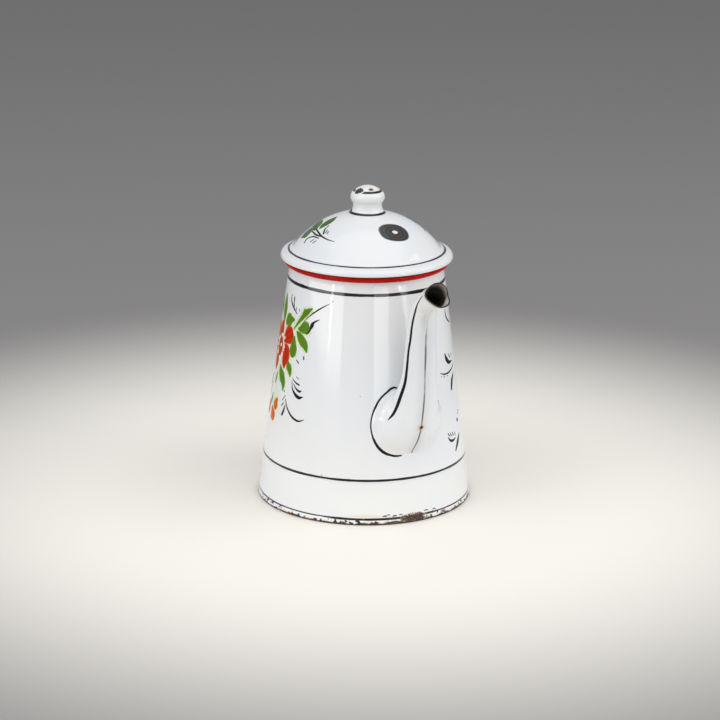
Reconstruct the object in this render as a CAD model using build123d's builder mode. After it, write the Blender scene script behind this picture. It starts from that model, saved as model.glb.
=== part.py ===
"""Antique enamelled-steel coffee pot with a swan-neck spout, a strap handle and a hinged domed lid.

Millimetres, +Z up. The origin is the centre of the foot, on the surface that the pot stands on.
The spout points along +X, and the handle and the lid's hinge are on -X.
Every piece is pressed or rolled sheet, apart from the rim wire, the hinge pin and the rivets.
"""

import os
from math import asin, cos, degrees, radians, sin, sqrt

from build123d import *

# Sheet and fits
SHEET = 0.9  # enamelled steel sheet
LEAF = 1.2  # hinge leaves and handle strap
SLIP = 0.05  # clearance of fixed pieces nested in one another
LID_GAP = 0.3  # between the closed lid and the rim it covers

# Body wall: a cone, then a short hollow neck and a rolled rim
STEP_RADIUS = 68.7  # lower edge of the body wall
STEP_HEIGHT = 28.6
NECK_RADIUS = 52.4
NECK_HEIGHT = 151.3
THROAT_DEPTH = 0.9  # how far the neck draws in
THROAT_RISE = 5.2
RIM_OVERHANG = 2.3  # rolled rim beyond the neck line
RIM_RISE = 12.4  # top of the rim above the neck line
WIRE_RADIUS = 1.2
RIM_TURN = 285  # degrees that the sheet is rolled round the wire

# Foot
FOOT_RADIUS = 72.0
BAND_LAP = 6.0  # height of the foot band inside the body wall
CREASE_DROP = 2.2  # from the body wall's edge down to the crease in the band
CREASE_OVERHANG = 0.5  # crease beyond the part of the band inside the wall
ROLL_RISE = 3.9  # height of the rolled foot
ROLL_SWELL = 0.8  # of the rolled foot beyond the band
ROLL_SHOULDER = 2.3  # height up to which the roll's side is upright
ROLL_ROOM = 1.05  # inside the rolled foot, beyond the bottom's flange
FLOOR_RISE = 0.8  # raised middle of the bottom
FLOOR_BORDER = 18.0  # width of the bottom round its raised middle
FLOOR_SLOPE = 3.0  # width of the slope up to the raised middle

# Strainer in the body wall behind the spout
STRAINER_HOLE_RADIUS = 1.7
STRAINER_PITCH = 7.0
STRAINER_RINGS = 2

# Spout
SPOUT_BASE_HEIGHT = 62.5  # middle of the spout's foot
MOUTH_OUT = 45.4  # middle of the mouth, out from the line of the wall
MOUTH_DROP = 2.7  # middle of the mouth below the top of the rim
# Shares of the rise and of the way out, then lean from level, half width and half depth
SPOUT_STATIONS = [
    (0.000, -0.18, 0, 28.6, 28.5),
    (0.086, 0.06, 13, 24.0, 20.6),
    (0.139, 0.15, 26, 18.5, 16.8),
    (0.233, 0.218, 52, 15.4, 12.1),
    (0.352, 0.314, 86, 13.0, 8.4),
    (0.540, 0.408, 88, 11.3, 6.8),
    (0.741, 0.489, 79, 10.0, 6.5),
    (0.880, 0.605, 60, 8.8, 6.8),
    (0.947, 0.80, 47, 8.1, 7.4),
    (1.000, 1.00, 45, 8.2, 8.2),
]

# Handle: a channel of bent strap with its edges turned in
HANDLE_WIDTH = 20.0
HANDLE_DEPTH = 8.0
HANDLE_CORNER = 3.6
HANDLE_SLOT = 9.0  # between the turned-in edges
HANDLE_DROP = 1.5  # top of the handle below the neck line
HANDLE_REACH = 96.5  # outside corner that the top bend rounds off
HANDLE_ELBOW_REACH = 92.0
HANDLE_ELBOW_HEIGHT = 62.0
HANDLE_FOOT_HEIGHT = 45.5
HANDLE_TOP_BEND = 22.0
HANDLE_ELBOW_BEND = 28.0

# Lid
BRIM_OVERHANG = 2.7  # brim beyond the rolled rim
BRIM_SLOPE = 18.0  # degrees
BRIM_HEM = 2.6  # width turned in under the brim
DOME_INSET = 8.9  # from the brim's edge in to where the dome starts
DOME_EDGE_RISE = 7.3  # of the dome's edge above the brim's lower edge
DOME_RISE = 23.9
DOME_HOLLOW = 4.0  # radius of the bend between dome and brim
COLLAR_CLEARANCE = 0.9  # between the collar and the inside of the rim
COLLAR_DEPTH = 9.0  # below the brim's lower edge
COLLAR_INSET = 1.5 * SHEET  # of the collar's flange from the brim's edge
KNOB_FOOT_RADIUS = 12.2
KNOB_WAIST_RADIUS = 9.6
KNOB_WAIST_RISE = 5.6
KNOB_BELLY_RADIUS = 11.5
KNOB_BELLY_RISE = 11.5
KNOB_CROWN_RADIUS = 8.6
KNOB_CROWN_RISE = 15.1
KNOB_RISE = 18.3
VENT_RADIUS = 1.5

# Hinge
PIN_OUT = 3.8  # from the brim's edge to the middle of the pin
PIN_RISE = 1.8  # above the top of the rim
PIN_RADIUS = 1.25
PIN_HEAD_RADIUS = 2.0
PIN_HEAD_HEIGHT = 0.8
PIN_RUNNING_CLEARANCE = 0.06
KNUCKLE_RADIUS = 2.6
KNUCKLE_LENGTH = 7.0  # the lid's knuckle
SIDE_KNUCKLE_LENGTH = 5.0  # each of the pot's two knuckles
KNUCKLE_GAP = 0.2
NOTCH_CLEARANCE = 0.6  # round the lid's knuckle, in the pot's leaf
HINGE_FOOT_LENGTH = 11.5
LID_LEAF_LENGTH = 15.4  # from the brim's edge in over the dome
LID_LEAF_WIDTH = 14.0
RIVET_RADIUS = 1.2
RIVET_HEAD_RADIUS = 2.3
RIVET_HEAD_HEIGHT = 1.0
RIVET_TAIL_RADIUS = 1.9
RIVET_TAIL_HEIGHT = 0.7
RIVET_SPACING = 7.0
LID_RIVET_INSET = 3.4  # from the inner end of the lid's leaf

# Body wall and rim, worked out
WALL_SLOPE = (STEP_RADIUS - NECK_RADIUS) / (NECK_HEIGHT - STEP_HEIGHT)
WALL_ACROSS = SHEET * sqrt(1 + WALL_SLOPE**2)  # the wall measured level
RIM_RADIUS = NECK_RADIUS + RIM_OVERHANG
RIM_TOP = NECK_HEIGHT + RIM_RISE
CORE_RADIUS = WIRE_RADIUS + SLIP  # inside of the roll
RIM_CENTRE = (RIM_RADIUS - CORE_RADIUS - SHEET, RIM_TOP - CORE_RADIUS - SHEET)
RIM_BORE = RIM_CENTRE[0] - CORE_RADIUS - SHEET

# Lid and hinge, worked out
LID_BASE = RIM_TOP + LID_GAP
BRIM_RADIUS = RIM_RADIUS + BRIM_OVERHANG
DOME_RADIUS = BRIM_RADIUS - DOME_INSET
DOME_EDGE = LID_BASE + DOME_EDGE_RISE
DOME_TOP = DOME_EDGE + DOME_RISE
DOME_BALL = (DOME_RADIUS**2 + DOME_RISE**2) / (2 * DOME_RISE)
DOME_CENTRE = DOME_TOP - DOME_BALL
DOME_SLOPE = degrees(asin(DOME_RADIUS / DOME_BALL))
PIN_REACH = BRIM_RADIUS + PIN_OUT
PIN_HEIGHT = RIM_TOP + PIN_RISE
PIN_PLANE = Plane(origin=(-PIN_REACH, 0, PIN_HEIGHT), x_dir=(1, 0, 0), z_dir=(0, -1, 0))
KNUCKLES_HALF = KNUCKLE_LENGTH / 2 + KNUCKLE_GAP + SIDE_KNUCKLE_LENGTH
HANDLE_TOP = NECK_HEIGHT - HANDLE_DROP


def wall_radius(height):
    """Outside radius of the body's cone at a height."""
    return STEP_RADIUS - WALL_SLOPE * (height - STEP_HEIGHT)


def write(piece, name):
    piece.label = name
    export_step(piece, f"parts/{name}.step")


os.makedirs("parts", exist_ok=True)

# Cone that fills the body wall, only used to trim what is fixed to the wall
with BuildPart() as wall_fill:
    with BuildSketch(Plane.XZ):
        with BuildLine():
            Polyline(
                (0, 0),
                (wall_radius(0), 0),
                (wall_radius(LID_BASE), LID_BASE),
                (0, LID_BASE),
                close=True,
            )
        make_face()
    revolve(axis=Axis.Z)

# Body wall: cone and neck in one sheet, rolled over at the rim, with the strainer's holes
with BuildPart() as body_wall:
    with BuildSketch(Plane.XZ):
        with Locations(RIM_CENTRE):
            Circle(CORE_RADIUS + SHEET)
            Circle(CORE_RADIUS, mode=Mode.SUBTRACT)
        with BuildLine():
            wall_side = PolarLine(RIM_CENTRE, 4 * CORE_RADIUS, 180)
            open_side = PolarLine(RIM_CENTRE, 4 * CORE_RADIUS, 180 - RIM_TURN)
            Line(wall_side @ 1, open_side @ 1)
        make_face(mode=Mode.SUBTRACT)
        with BuildLine():
            FilletPolyline(
                (STEP_RADIUS, STEP_HEIGHT),
                (NECK_RADIUS, NECK_HEIGHT),
                (NECK_RADIUS - THROAT_DEPTH, NECK_HEIGHT + THROAT_RISE),
                (RIM_BORE + SHEET, RIM_CENTRE[1] - CORE_RADIUS - SHEET),
                (RIM_BORE + SHEET, RIM_CENTRE[1] + SLIP),
                radius=2,
            )
            offset(amount=SHEET, side=Side.LEFT)
        make_face()
    revolve(axis=Axis.Z)
    with BuildSketch(Plane.YZ):
        with Locations((0, SPOUT_BASE_HEIGHT)):
            Circle(STRAINER_HOLE_RADIUS)
            for ring in range(1, STRAINER_RINGS + 1):
                with PolarLocations(ring * STRAINER_PITCH, 6 * ring):
                    Circle(STRAINER_HOLE_RADIUS)
    extrude(amount=STEP_RADIUS, mode=Mode.SUBTRACT)

# Wire that the rim is rolled round
with BuildPart() as rim_wire:
    with BuildSketch(Plane.XZ):
        with Locations(RIM_CENTRE):
            Circle(WIRE_RADIUS)
    revolve(axis=Axis.Z)

# Foot band: laps inside the body wall, and its lower edge is rolled in
LAP_RADIUS = STEP_RADIUS - WALL_ACROSS - SLIP
ROLL_WIDTH = 3 * SHEET + ROLL_ROOM
LIP_TOP = ROLL_RISE - SHEET - 4 * SLIP
with BuildPart() as foot_band:
    with BuildSketch(Plane.XZ):
        with BuildLine():
            FilletPolyline(
                (LAP_RADIUS - WALL_SLOPE * BAND_LAP, STEP_HEIGHT + BAND_LAP),
                (LAP_RADIUS, STEP_HEIGHT),
                (LAP_RADIUS + CREASE_OVERHANG, STEP_HEIGHT - CREASE_DROP),
                (FOOT_RADIUS - ROLL_SWELL, ROLL_RISE),
                (FOOT_RADIUS, ROLL_SHOULDER),
                (FOOT_RADIUS, 0),
                (FOOT_RADIUS - ROLL_WIDTH, 0),
                (FOOT_RADIUS - ROLL_WIDTH, LIP_TOP),
                radius=[0.5, 1.5, 1.5, 1.5, 1.5, 1.3],
            )
            offset(amount=SHEET, side=Side.RIGHT)
        make_face()
    revolve(axis=Axis.Z)

# Bottom: a shallow dish, its flange held in the rolled foot
FLANGE_RADIUS = FOOT_RADIUS - ROLL_WIDTH + 2 * SHEET + SLIP
RAISED_RADIUS = FOOT_RADIUS - FLOOR_BORDER
with BuildPart() as bottom_dish:
    with BuildSketch(Plane.XZ):
        with BuildLine():
            FilletPolyline(
                (0, ROLL_RISE + FLOOR_RISE),
                (RAISED_RADIUS, ROLL_RISE + FLOOR_RISE),
                (RAISED_RADIUS + FLOOR_SLOPE, ROLL_RISE),
                (FLANGE_RADIUS, ROLL_RISE),
                (FLANGE_RADIUS, 2 * SHEET),
                radius=[1.5, 1.5, 1.2],
            )
            offset(amount=SHEET, side=Side.RIGHT)
        make_face()
    revolve(axis=Axis.Z)

# Spout: a swelling base and a tapered neck, pressed as a left and a right half
MOUTH_HEIGHT = RIM_TOP - MOUTH_DROP


def spout_plane(rise, out, lean):
    """Plane across the spout at one station, with its local x level across the spout."""
    height = SPOUT_BASE_HEIGHT + rise * (MOUTH_HEIGHT - SPOUT_BASE_HEIGHT)
    reach = wall_radius(height) + out * MOUTH_OUT
    direction = (cos(radians(lean)), 0, sin(radians(lean)))
    return Plane(origin=(reach, 0, height), x_dir=(0, 1, 0), z_dir=direction)


with BuildPart() as spout_left:
    for rise, out, lean, half_width, half_depth in SPOUT_STATIONS:
        inside = (half_width - SHEET, half_depth - SHEET)
        with BuildSketch(spout_plane(rise, out, lean)):
            with BuildLine():
                outer = EllipticalCenterArc((0, 0), half_width, half_depth, -90, arc_size=180)
                inner = EllipticalCenterArc((0, 0), *inside, -90, arc_size=180)
                Line(outer @ 0, inner @ 0)
                Line(outer @ 1, inner @ 1)
            make_face()
    loft()
    add(wall_fill.part, mode=Mode.SUBTRACT)

with BuildPart() as spout_right:
    mirror(spout_left.part, about=Plane.XZ)

# Handle: bent channel, cut to the body wall at both ends and drilled for the hinge's rivets
HANDLE_LINE = HANDLE_TOP - HANDLE_DEPTH / 2
HANDLE_BACK = HANDLE_REACH - HANDLE_DEPTH / 2
HINGE_FOOT_INNER = PIN_REACH - LEAF / 2
HINGE_RIVET_REACH = HINGE_FOOT_INNER + (HINGE_FOOT_LENGTH + LEAF) / 2
with BuildPart() as handle_strap:
    with BuildLine():
        FilletPolyline(
            (-NECK_RADIUS / 2, 0, HANDLE_LINE),
            (-HANDLE_BACK, 0, HANDLE_LINE),
            (-HANDLE_ELBOW_REACH + HANDLE_DEPTH / 2, 0, HANDLE_ELBOW_HEIGHT),
            (-NECK_RADIUS, 0, HANDLE_FOOT_HEIGHT),
            radius=[HANDLE_TOP_BEND, HANDLE_ELBOW_BEND],
        )
    start = Plane(origin=(-NECK_RADIUS / 2, 0, HANDLE_LINE), x_dir=(0, 1, 0), z_dir=(-1, 0, 0))
    with BuildSketch(start):
        RectangleRounded(HANDLE_WIDTH, HANDLE_DEPTH, HANDLE_CORNER)
        RectangleRounded(
            HANDLE_WIDTH - 2 * LEAF,
            HANDLE_DEPTH - 2 * LEAF,
            HANDLE_CORNER - LEAF,
            mode=Mode.SUBTRACT,
        )
        with Locations((0, HANDLE_DEPTH / 2)):
            Rectangle(HANDLE_SLOT, 4 * LEAF, mode=Mode.SUBTRACT)
    sweep()
    add(wall_fill.part, mode=Mode.SUBTRACT)
    with BuildSketch(Plane.XY.offset(HANDLE_TOP)):
        with Locations((-HINGE_RIVET_REACH, 0)):
            with GridLocations(0, RIVET_SPACING, 1, 2):
                Circle(RIVET_RADIUS + SLIP)
    extrude(amount=-2 * LEAF, mode=Mode.SUBTRACT)


def lid_profile(whole=True):
    """Outside of the lid from its top out to the brim, and if whole, round its edge to the hem."""
    dome = CenterArc((0, DOME_CENTRE), DOME_BALL, 90, -DOME_SLOPE)
    hollow = JernArc(dome @ 1, dome % 1, DOME_HOLLOW, DOME_SLOPE - BRIM_SLOPE)
    slope = radians(BRIM_SLOPE)
    corner_radius = SHEET + SLIP
    width = BRIM_RADIUS - (hollow @ 1).X
    drop = (hollow @ 1).Y - LID_BASE - corner_radius
    shoulder_radius = (drop * cos(slope) - width * sin(slope)) / (1 - sin(slope))
    run = (width - shoulder_radius * (1 - sin(slope))) / cos(slope)
    brim = PolarLine(hollow @ 1, run, -BRIM_SLOPE)
    if whole:
        shoulder = JernArc(brim @ 1, brim % 1, shoulder_radius, BRIM_SLOPE - 90)
        corner = JernArc(shoulder @ 1, (0, -1), corner_radius, -90)
        Line(corner @ 1, (BRIM_RADIUS - BRIM_HEM, LID_BASE))
    return brim


# Rivet through the lid's leaf and the dome, square to the dome
LID_LEAF_END = BRIM_RADIUS - LID_LEAF_LENGTH
LID_RIVET_REACH = LID_LEAF_END + LID_RIVET_INSET
LID_RIVET_TILT = degrees(asin(LID_RIVET_REACH / DOME_BALL))
LID_RIVET_TURN = degrees(asin(RIVET_SPACING / 2 / LID_RIVET_REACH))


def rivet_plane(turn, height):
    """Plane square to one of the lid's rivets, at a height above the dome's outside."""
    around = Location((0, 0, DOME_CENTRE), (0, 0, turn))
    return Plane(around * Location((0, 0, 0), (0, -LID_RIVET_TILT, 0))).offset(DOME_BALL + height)


# Lid: dome and brim in one sheet, with a hem that holds the collar
with BuildPart() as lid_dome:
    with BuildSketch(Plane.XZ):
        with BuildLine():
            lid_profile()
            offset(amount=SHEET, side=Side.RIGHT)
        make_face()
    revolve(axis=Axis.Z)
    with Locations((0, 0, DOME_TOP)):
        Hole(VENT_RADIUS, depth=2 * SHEET)
    for turn in (-LID_RIVET_TURN, LID_RIVET_TURN):
        with BuildSketch(rivet_plane(turn, -2 * SHEET)):
            Circle(RIVET_RADIUS + SLIP)
        extrude(amount=4 * SHEET, mode=Mode.SUBTRACT)

# Collar that steadies the lid in the neck, its flange held in the brim's hem
COLLAR_BORE = RIM_BORE - COLLAR_CLEARANCE - SHEET
FLANGE_TOP = LID_BASE + 2 * SHEET + SLIP
with BuildPart() as lid_collar:
    with BuildSketch(Plane.XZ):
        with BuildLine():
            FilletPolyline(
                (BRIM_RADIUS - COLLAR_INSET, FLANGE_TOP),
                (COLLAR_BORE, FLANGE_TOP),
                (COLLAR_BORE, LID_BASE - COLLAR_DEPTH),
                radius=1.2,
            )
            offset(amount=SHEET, side=Side.LEFT)
        make_face()
    revolve(axis=Axis.Z)

# Knob: one hollow pressing whose flared foot stands on the dome
KNOB_FOOT = DOME_CENTRE + sqrt(DOME_BALL**2 - KNOB_FOOT_RADIUS**2)
with BuildPart() as lid_knob:
    with BuildSketch(Plane.XZ):
        with BuildLine():
            crown_edge = (KNOB_CROWN_RADIUS, KNOB_FOOT + KNOB_CROWN_RISE)
            crown_depth = KNOB_RISE - KNOB_CROWN_RISE
            crown_ball = (KNOB_CROWN_RADIUS**2 + crown_depth**2) / (2 * crown_depth)
            crown_turn = degrees(asin(KNOB_CROWN_RADIUS / crown_ball))
            CenterArc((0, KNOB_FOOT + KNOB_RISE - crown_ball), crown_ball, 90, -crown_turn)
            belly = (KNOB_BELLY_RADIUS, KNOB_FOOT + KNOB_BELLY_RISE)
            waist = (KNOB_WAIST_RADIUS, KNOB_FOOT + KNOB_WAIST_RISE)
            foot = (KNOB_FOOT_RADIUS, KNOB_FOOT)
            between = ((belly[0] + waist[0]) / 2, (belly[1] + waist[1]) / 2)
            TangentArc(crown_edge, belly, tangent=(0, 1), tangent_from_first=False)
            TangentArc(belly, between, tangent=(0, -1))
            TangentArc(between, waist, tangent=(0, 1), tangent_from_first=False)
            flare = TangentArc(waist, foot, tangent=(0, -1))
            Line(flare @ 1, flare @ 1 + 2 * SHEET * (flare % 1))
            offset(amount=SHEET, side=Side.RIGHT)
        make_face()
    revolve(axis=Axis.Z)
    with BuildSketch(Plane.XZ):
        with BuildLine():
            rest = CenterArc((0, DOME_CENTRE), DOME_BALL + SLIP, 90, -DOME_SLOPE)
            Polyline(rest @ 1, (0, (rest @ 1).Y), rest @ 0)
        make_face()
    revolve(axis=Axis.Z, mode=Mode.SUBTRACT)

# Pot's hinge leaf: an angle riveted to the top of the handle, with a knuckle at each side
LEAF_FOOT_WIDTH = HANDLE_WIDTH - 2 * HANDLE_CORNER
NOTCH_HALF = KNUCKLE_LENGTH / 2 + KNUCKLE_GAP
NOTCH_FLOOR = PIN_HEIGHT - KNUCKLE_RADIUS - NOTCH_CLEARANCE
LEAF_SWELL = (HANDLE_TOP + PIN_HEIGHT) / 2  # height at which the leaf is as wide as its knuckles
with BuildPart() as hinge_pot_leaf:
    with BuildSketch(Plane.XZ):
        with BuildLine():
            FilletPolyline(
                (-HINGE_FOOT_INNER, PIN_HEIGHT),
                (-HINGE_FOOT_INNER, HANDLE_TOP),
                (-HINGE_FOOT_INNER - HINGE_FOOT_LENGTH, HANDLE_TOP),
                radius=2 * LEAF,
            )
            offset(amount=LEAF, side=Side.RIGHT)
        make_face()
        with Locations((-PIN_REACH, PIN_HEIGHT)):
            Circle(KNUCKLE_RADIUS)
    extrude(amount=KNUCKLES_HALF, both=True)
    with BuildSketch(Plane.YZ.offset(-PIN_REACH)):
        with BuildLine():
            Polyline(
                (0, HANDLE_TOP),
                (LEAF_FOOT_WIDTH / 2, HANDLE_TOP),
                (LEAF_FOOT_WIDTH / 2, HANDLE_TOP + LEAF + SHEET),
                (KNUCKLES_HALF, LEAF_SWELL),
                (KNUCKLES_HALF, PIN_HEIGHT + KNUCKLE_RADIUS),
                (NOTCH_HALF, PIN_HEIGHT + KNUCKLE_RADIUS),
                (NOTCH_HALF, NOTCH_FLOOR),
                (0, NOTCH_FLOOR),
            )
            mirror(about=Plane.YZ)
        make_face()
    extrude(amount=PIN_REACH / 2, both=True, mode=Mode.INTERSECT)
    with BuildSketch(PIN_PLANE):
        Circle(PIN_RADIUS + SLIP / 2)
    extrude(amount=2 * KNUCKLES_HALF, both=True, mode=Mode.SUBTRACT)
    with BuildSketch(Plane.XY.offset(HANDLE_TOP)):
        with Locations((-HINGE_RIVET_REACH, 0)):
            with GridLocations(0, RIVET_SPACING, 1, 2):
                Circle(RIVET_RADIUS + SLIP)
    extrude(amount=2 * LEAF, mode=Mode.SUBTRACT)

# Lid's hinge leaf: a strap bent to the dome and the brim, its end rolled round the pin
with BuildPart() as hinge_lid_leaf:
    with BuildSketch(Plane.XZ):
        with BuildLine():
            brim = lid_profile(whole=False)
            PolarLine(brim @ 1, (PIN_REACH - (brim @ 1).X) / cos(radians(BRIM_SLOPE)), -BRIM_SLOPE)
            offset(amount=LEAF, side=Side.LEFT)
        make_face()
    revolve(axis=Axis.Z)
    with BuildSketch(Plane.XY.offset(LID_BASE)):
        with Locations((-(LID_LEAF_END + BRIM_RADIUS) / 2, 0)):
            Rectangle(LID_LEAF_LENGTH, LID_LEAF_WIDTH)
        with Locations((-(BRIM_RADIUS + PIN_REACH) / 2, 0)):
            Rectangle(PIN_REACH - BRIM_RADIUS, KNUCKLE_LENGTH)
    extrude(amount=DOME_TOP - LID_BASE, mode=Mode.INTERSECT)
    with BuildSketch(PIN_PLANE):
        Circle(KNUCKLE_RADIUS)
    extrude(amount=KNUCKLE_LENGTH / 2, both=True)
    with BuildSketch(PIN_PLANE):
        Circle(PIN_RADIUS + PIN_RUNNING_CLEARANCE)
    extrude(amount=KNUCKLE_LENGTH, both=True, mode=Mode.SUBTRACT)
    for turn in (-LID_RIVET_TURN, LID_RIVET_TURN):
        with BuildSketch(rivet_plane(turn, -LEAF)):
            Circle(RIVET_RADIUS + SLIP)
        extrude(amount=4 * LEAF, mode=Mode.SUBTRACT)

# Hinge pin, headed at both ends
with BuildPart() as hinge_pin:
    with BuildSketch(PIN_PLANE):
        Circle(PIN_RADIUS)
    extrude(amount=KNUCKLES_HALF + SLIP, both=True)
    for side in (-1, 1):
        with BuildSketch(PIN_PLANE.offset(side * (KNUCKLES_HALF + SLIP))):
            Circle(PIN_HEAD_RADIUS)
        extrude(amount=side * PIN_HEAD_HEIGHT)
    fillet(hinge_pin.faces().sort_by(Axis.Y)[0].edges(), PIN_HEAD_HEIGHT / 2)
    fillet(hinge_pin.faces().sort_by(Axis.Y)[-1].edges(), PIN_HEAD_HEIGHT / 2)


def rivet(plane, grip):
    """Rivet whose head stands on a plane and whose tail is closed a grip below it."""
    with BuildPart() as piece:
        with BuildSketch(Plane.XZ):
            with BuildLine():
                ThreePointArc(
                    (0, RIVET_HEAD_HEIGHT),
                    (0.72 * RIVET_HEAD_RADIUS, 0.68 * RIVET_HEAD_HEIGHT),
                    (RIVET_HEAD_RADIUS, 0),
                )
                Polyline(
                    (RIVET_HEAD_RADIUS, 0),
                    (RIVET_RADIUS, 0),
                    (RIVET_RADIUS, -grip),
                    (RIVET_TAIL_RADIUS, -grip),
                    (RIVET_RADIUS, -grip - RIVET_TAIL_HEIGHT),
                    (0, -grip - RIVET_TAIL_HEIGHT),
                    (0, RIVET_HEAD_HEIGHT),
                )
            make_face()
        revolve(axis=Axis.Z)
    return plane.location * piece.part


# Rivets of the lid's leaf
with BuildPart() as lid_leaf_rivets:
    for turn in (-LID_RIVET_TURN, LID_RIVET_TURN):
        add(rivet(rivet_plane(turn, LEAF + SLIP), LEAF + SHEET + 2 * SLIP))

# Rivets of the pot's leaf
with BuildPart() as pot_leaf_rivets:
    for side in (-1, 1):
        spot = Plane((-HINGE_RIVET_REACH, side * RIVET_SPACING / 2, HANDLE_TOP + LEAF))
        add(rivet(spot, 2 * LEAF))

write(body_wall.part, "body_wall")
write(rim_wire.part, "rim_wire")
write(foot_band.part, "foot_band")
write(bottom_dish.part, "bottom_dish")
write(spout_left.part, "spout_left_half")
write(spout_right.part, "spout_right_half")
write(handle_strap.part, "handle_strap")
write(lid_dome.part, "lid_dome")
write(lid_collar.part, "lid_collar")
write(lid_knob.part, "lid_knob")
write(hinge_pot_leaf.part, "hinge_pot_leaf")
write(hinge_lid_leaf.part, "hinge_lid_leaf")
write(hinge_pin.part, "hinge_pin")
write(lid_leaf_rivets.part, "lid_leaf_rivets")
write(pot_leaf_rivets.part, "pot_leaf_rivets")
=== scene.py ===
from math import asin, cos, degrees, hypot, pi, radians, sin, sqrt

import bmesh
import bpy
import numpy as np
from mathutils import Matrix, Vector


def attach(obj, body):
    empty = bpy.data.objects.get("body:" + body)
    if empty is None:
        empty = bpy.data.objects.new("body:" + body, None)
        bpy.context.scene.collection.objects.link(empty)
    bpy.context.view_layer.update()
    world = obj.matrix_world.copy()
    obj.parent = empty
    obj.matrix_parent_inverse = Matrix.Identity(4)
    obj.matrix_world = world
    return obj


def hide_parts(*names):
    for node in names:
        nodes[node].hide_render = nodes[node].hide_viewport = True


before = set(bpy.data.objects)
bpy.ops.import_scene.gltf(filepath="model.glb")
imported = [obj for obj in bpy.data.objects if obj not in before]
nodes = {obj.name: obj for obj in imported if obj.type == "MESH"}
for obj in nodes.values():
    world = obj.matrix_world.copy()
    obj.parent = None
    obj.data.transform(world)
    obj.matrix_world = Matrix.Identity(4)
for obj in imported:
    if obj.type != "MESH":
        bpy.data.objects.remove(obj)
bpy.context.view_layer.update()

scene = bpy.context.scene
MM = 0.001

# ---- Camera ---------------------------------------------------------------------------
# The photograph looks at the pot from 28 degrees to the right of its spout, a little from
# above, through a long lens. The place, lens and angles were fitted to the painted rings.
VIEW = -28  # degrees round the pot from the spout
TURN, DOWN, TILT = 62.126, 16.708, 0.753  # the camera's own angles
camera_data = bpy.data.cameras.new("camera")
camera_data.lens = 127.25
camera_data.sensor_width = 36
camera = bpy.data.objects.new("camera", camera_data)
camera.location = (1.44826, -0.77005, 0.58414)
camera.rotation_euler = (
    Matrix.Rotation(radians(TURN), 3, "Z")
    @ Matrix.Rotation(radians(90 - DOWN), 3, "X")
    @ Matrix.Rotation(radians(TILT), 3, "Z")
).to_euler()
scene.collection.objects.link(camera)
scene.camera = camera

# ---- Studio ---------------------------------------------------------------------------
# Soft light from large panels and low screens, and two narrow upright lamps whose
# reflections are the pale streaks on the wall. The floor is pale, and greys away from the pot.
scene.view_settings.view_transform = "Standard"
LAMPS = (
    # name, degrees round from the camera and up, distance, width, height in m, watts
    ("panel_left", -60, 31, 1.9, 1.4, 1.2, 6.0),
    ("panel_right", 80, 28, 1.9, 1.4, 1.2, 10.0),
    ("panel_above", 0, 72, 1.7, 2.6, 2.6, 16.5),
    ("screen_left", -61, 1.5, 1.9, 2.15, 0.3, 6.6),
    ("screen_right", 35, 1.5, 1.9, 1.7, 0.3, 5.0),
    ("streak_left", -48, 16, 1.7, 0.06, 1.1, 1.7),
    ("streak_right", 49, 16, 1.7, 0.06, 1.1, 1.5),
)
AIM = Vector((0, 0, 0.1))  # the middle of the pot, which every lamp faces
for name, around, up, distance, width, height, power in LAMPS:
    data = bpy.data.lights.new(name, "AREA")
    data.shape = "RECTANGLE"
    data.size, data.size_y = width, height
    data.energy = power
    turn, rise = radians(around + VIEW), radians(up)
    away = Vector((cos(rise) * cos(turn), cos(rise) * sin(turn), sin(rise)))
    lamp = bpy.data.objects.new(name, data)
    lamp.location = AIM + distance * away
    lamp.rotation_euler = away.to_track_quat("Z", "Y").to_euler()
    lamp.visible_camera = False
    scene.collection.objects.link(lamp)

world = bpy.data.worlds.new("room")
scene.world = world
world.use_nodes = True
room = world.node_tree.nodes["Background"].inputs
room["Color"].default_value = (0.93, 0.95, 1, 1)
room["Strength"].default_value = 0.45


class Value:
    """What a node gives, with everyday arithmetic."""

    def __init__(self, tree, socket):
        self.tree, self.socket = tree, socket

    def do(self, operation, *others):
        values = enumerate((self, *others))
        return value(self.tree, "ShaderNodeMath", values, operation=operation)

    def vector(self, operation, *others, out=0):
        values = enumerate((self, *others))
        return value(self.tree, "ShaderNodeVectorMath", values, out, operation=operation)

    def split(self):
        """The three parts of a vector."""
        parts = add_node(self.tree, "ShaderNodeSeparateXYZ", {0: self}).outputs
        return [Value(self.tree, part) for part in parts]

    def ease(self, low, high):
        """0 below low, 1 above high and smooth between. It falls where low is the higher."""
        ends = {"Value": self, "From Min": low, "From Max": high}
        return value(self.tree, "ShaderNodeMapRange", ends, interpolation_type="SMOOTHSTEP")

    def __add__(self, other):
        return self.do("ADD", other)

    def __sub__(self, other):
        return self.do("SUBTRACT", other)

    def __rsub__(self, other):
        return self.do("MULTIPLY_ADD", -1.0, other)

    def __mul__(self, other):
        return self.do("MULTIPLY", other)

    def __truediv__(self, other):
        return self.do("DIVIDE", other)

    def __pow__(self, other):
        return self.do("POWER", other)

    def __abs__(self):
        return self.do("ABSOLUTE")


def add_node(tree, kind, inputs=(), **settings):
    """A node with its settings and its inputs, each a constant or what a node gives."""
    made = tree.nodes.new(kind)
    count = len(tree.nodes)
    made.location = (count % 9 * 190, -260 * (count // 9))
    for key, setting in settings.items():
        setattr(made, key, setting)
    for key, given in dict(inputs).items():
        if isinstance(given, Value):
            tree.links.new(given.socket, made.inputs[key])
        else:
            made.inputs[key].default_value = given
    return made


def value(tree, kind, inputs=(), out=0, **settings):
    """What one output of a new node gives."""
    return Value(tree, add_node(tree, kind, inputs, **settings).outputs[out])


def mix(share, first, second):
    """The second colour laid over the first, in a share of 0 to 1."""
    ends = {0: share, 6: first, 7: second}
    return value(share.tree, "ShaderNodeMix", ends, 2, data_type="RGBA")


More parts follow.
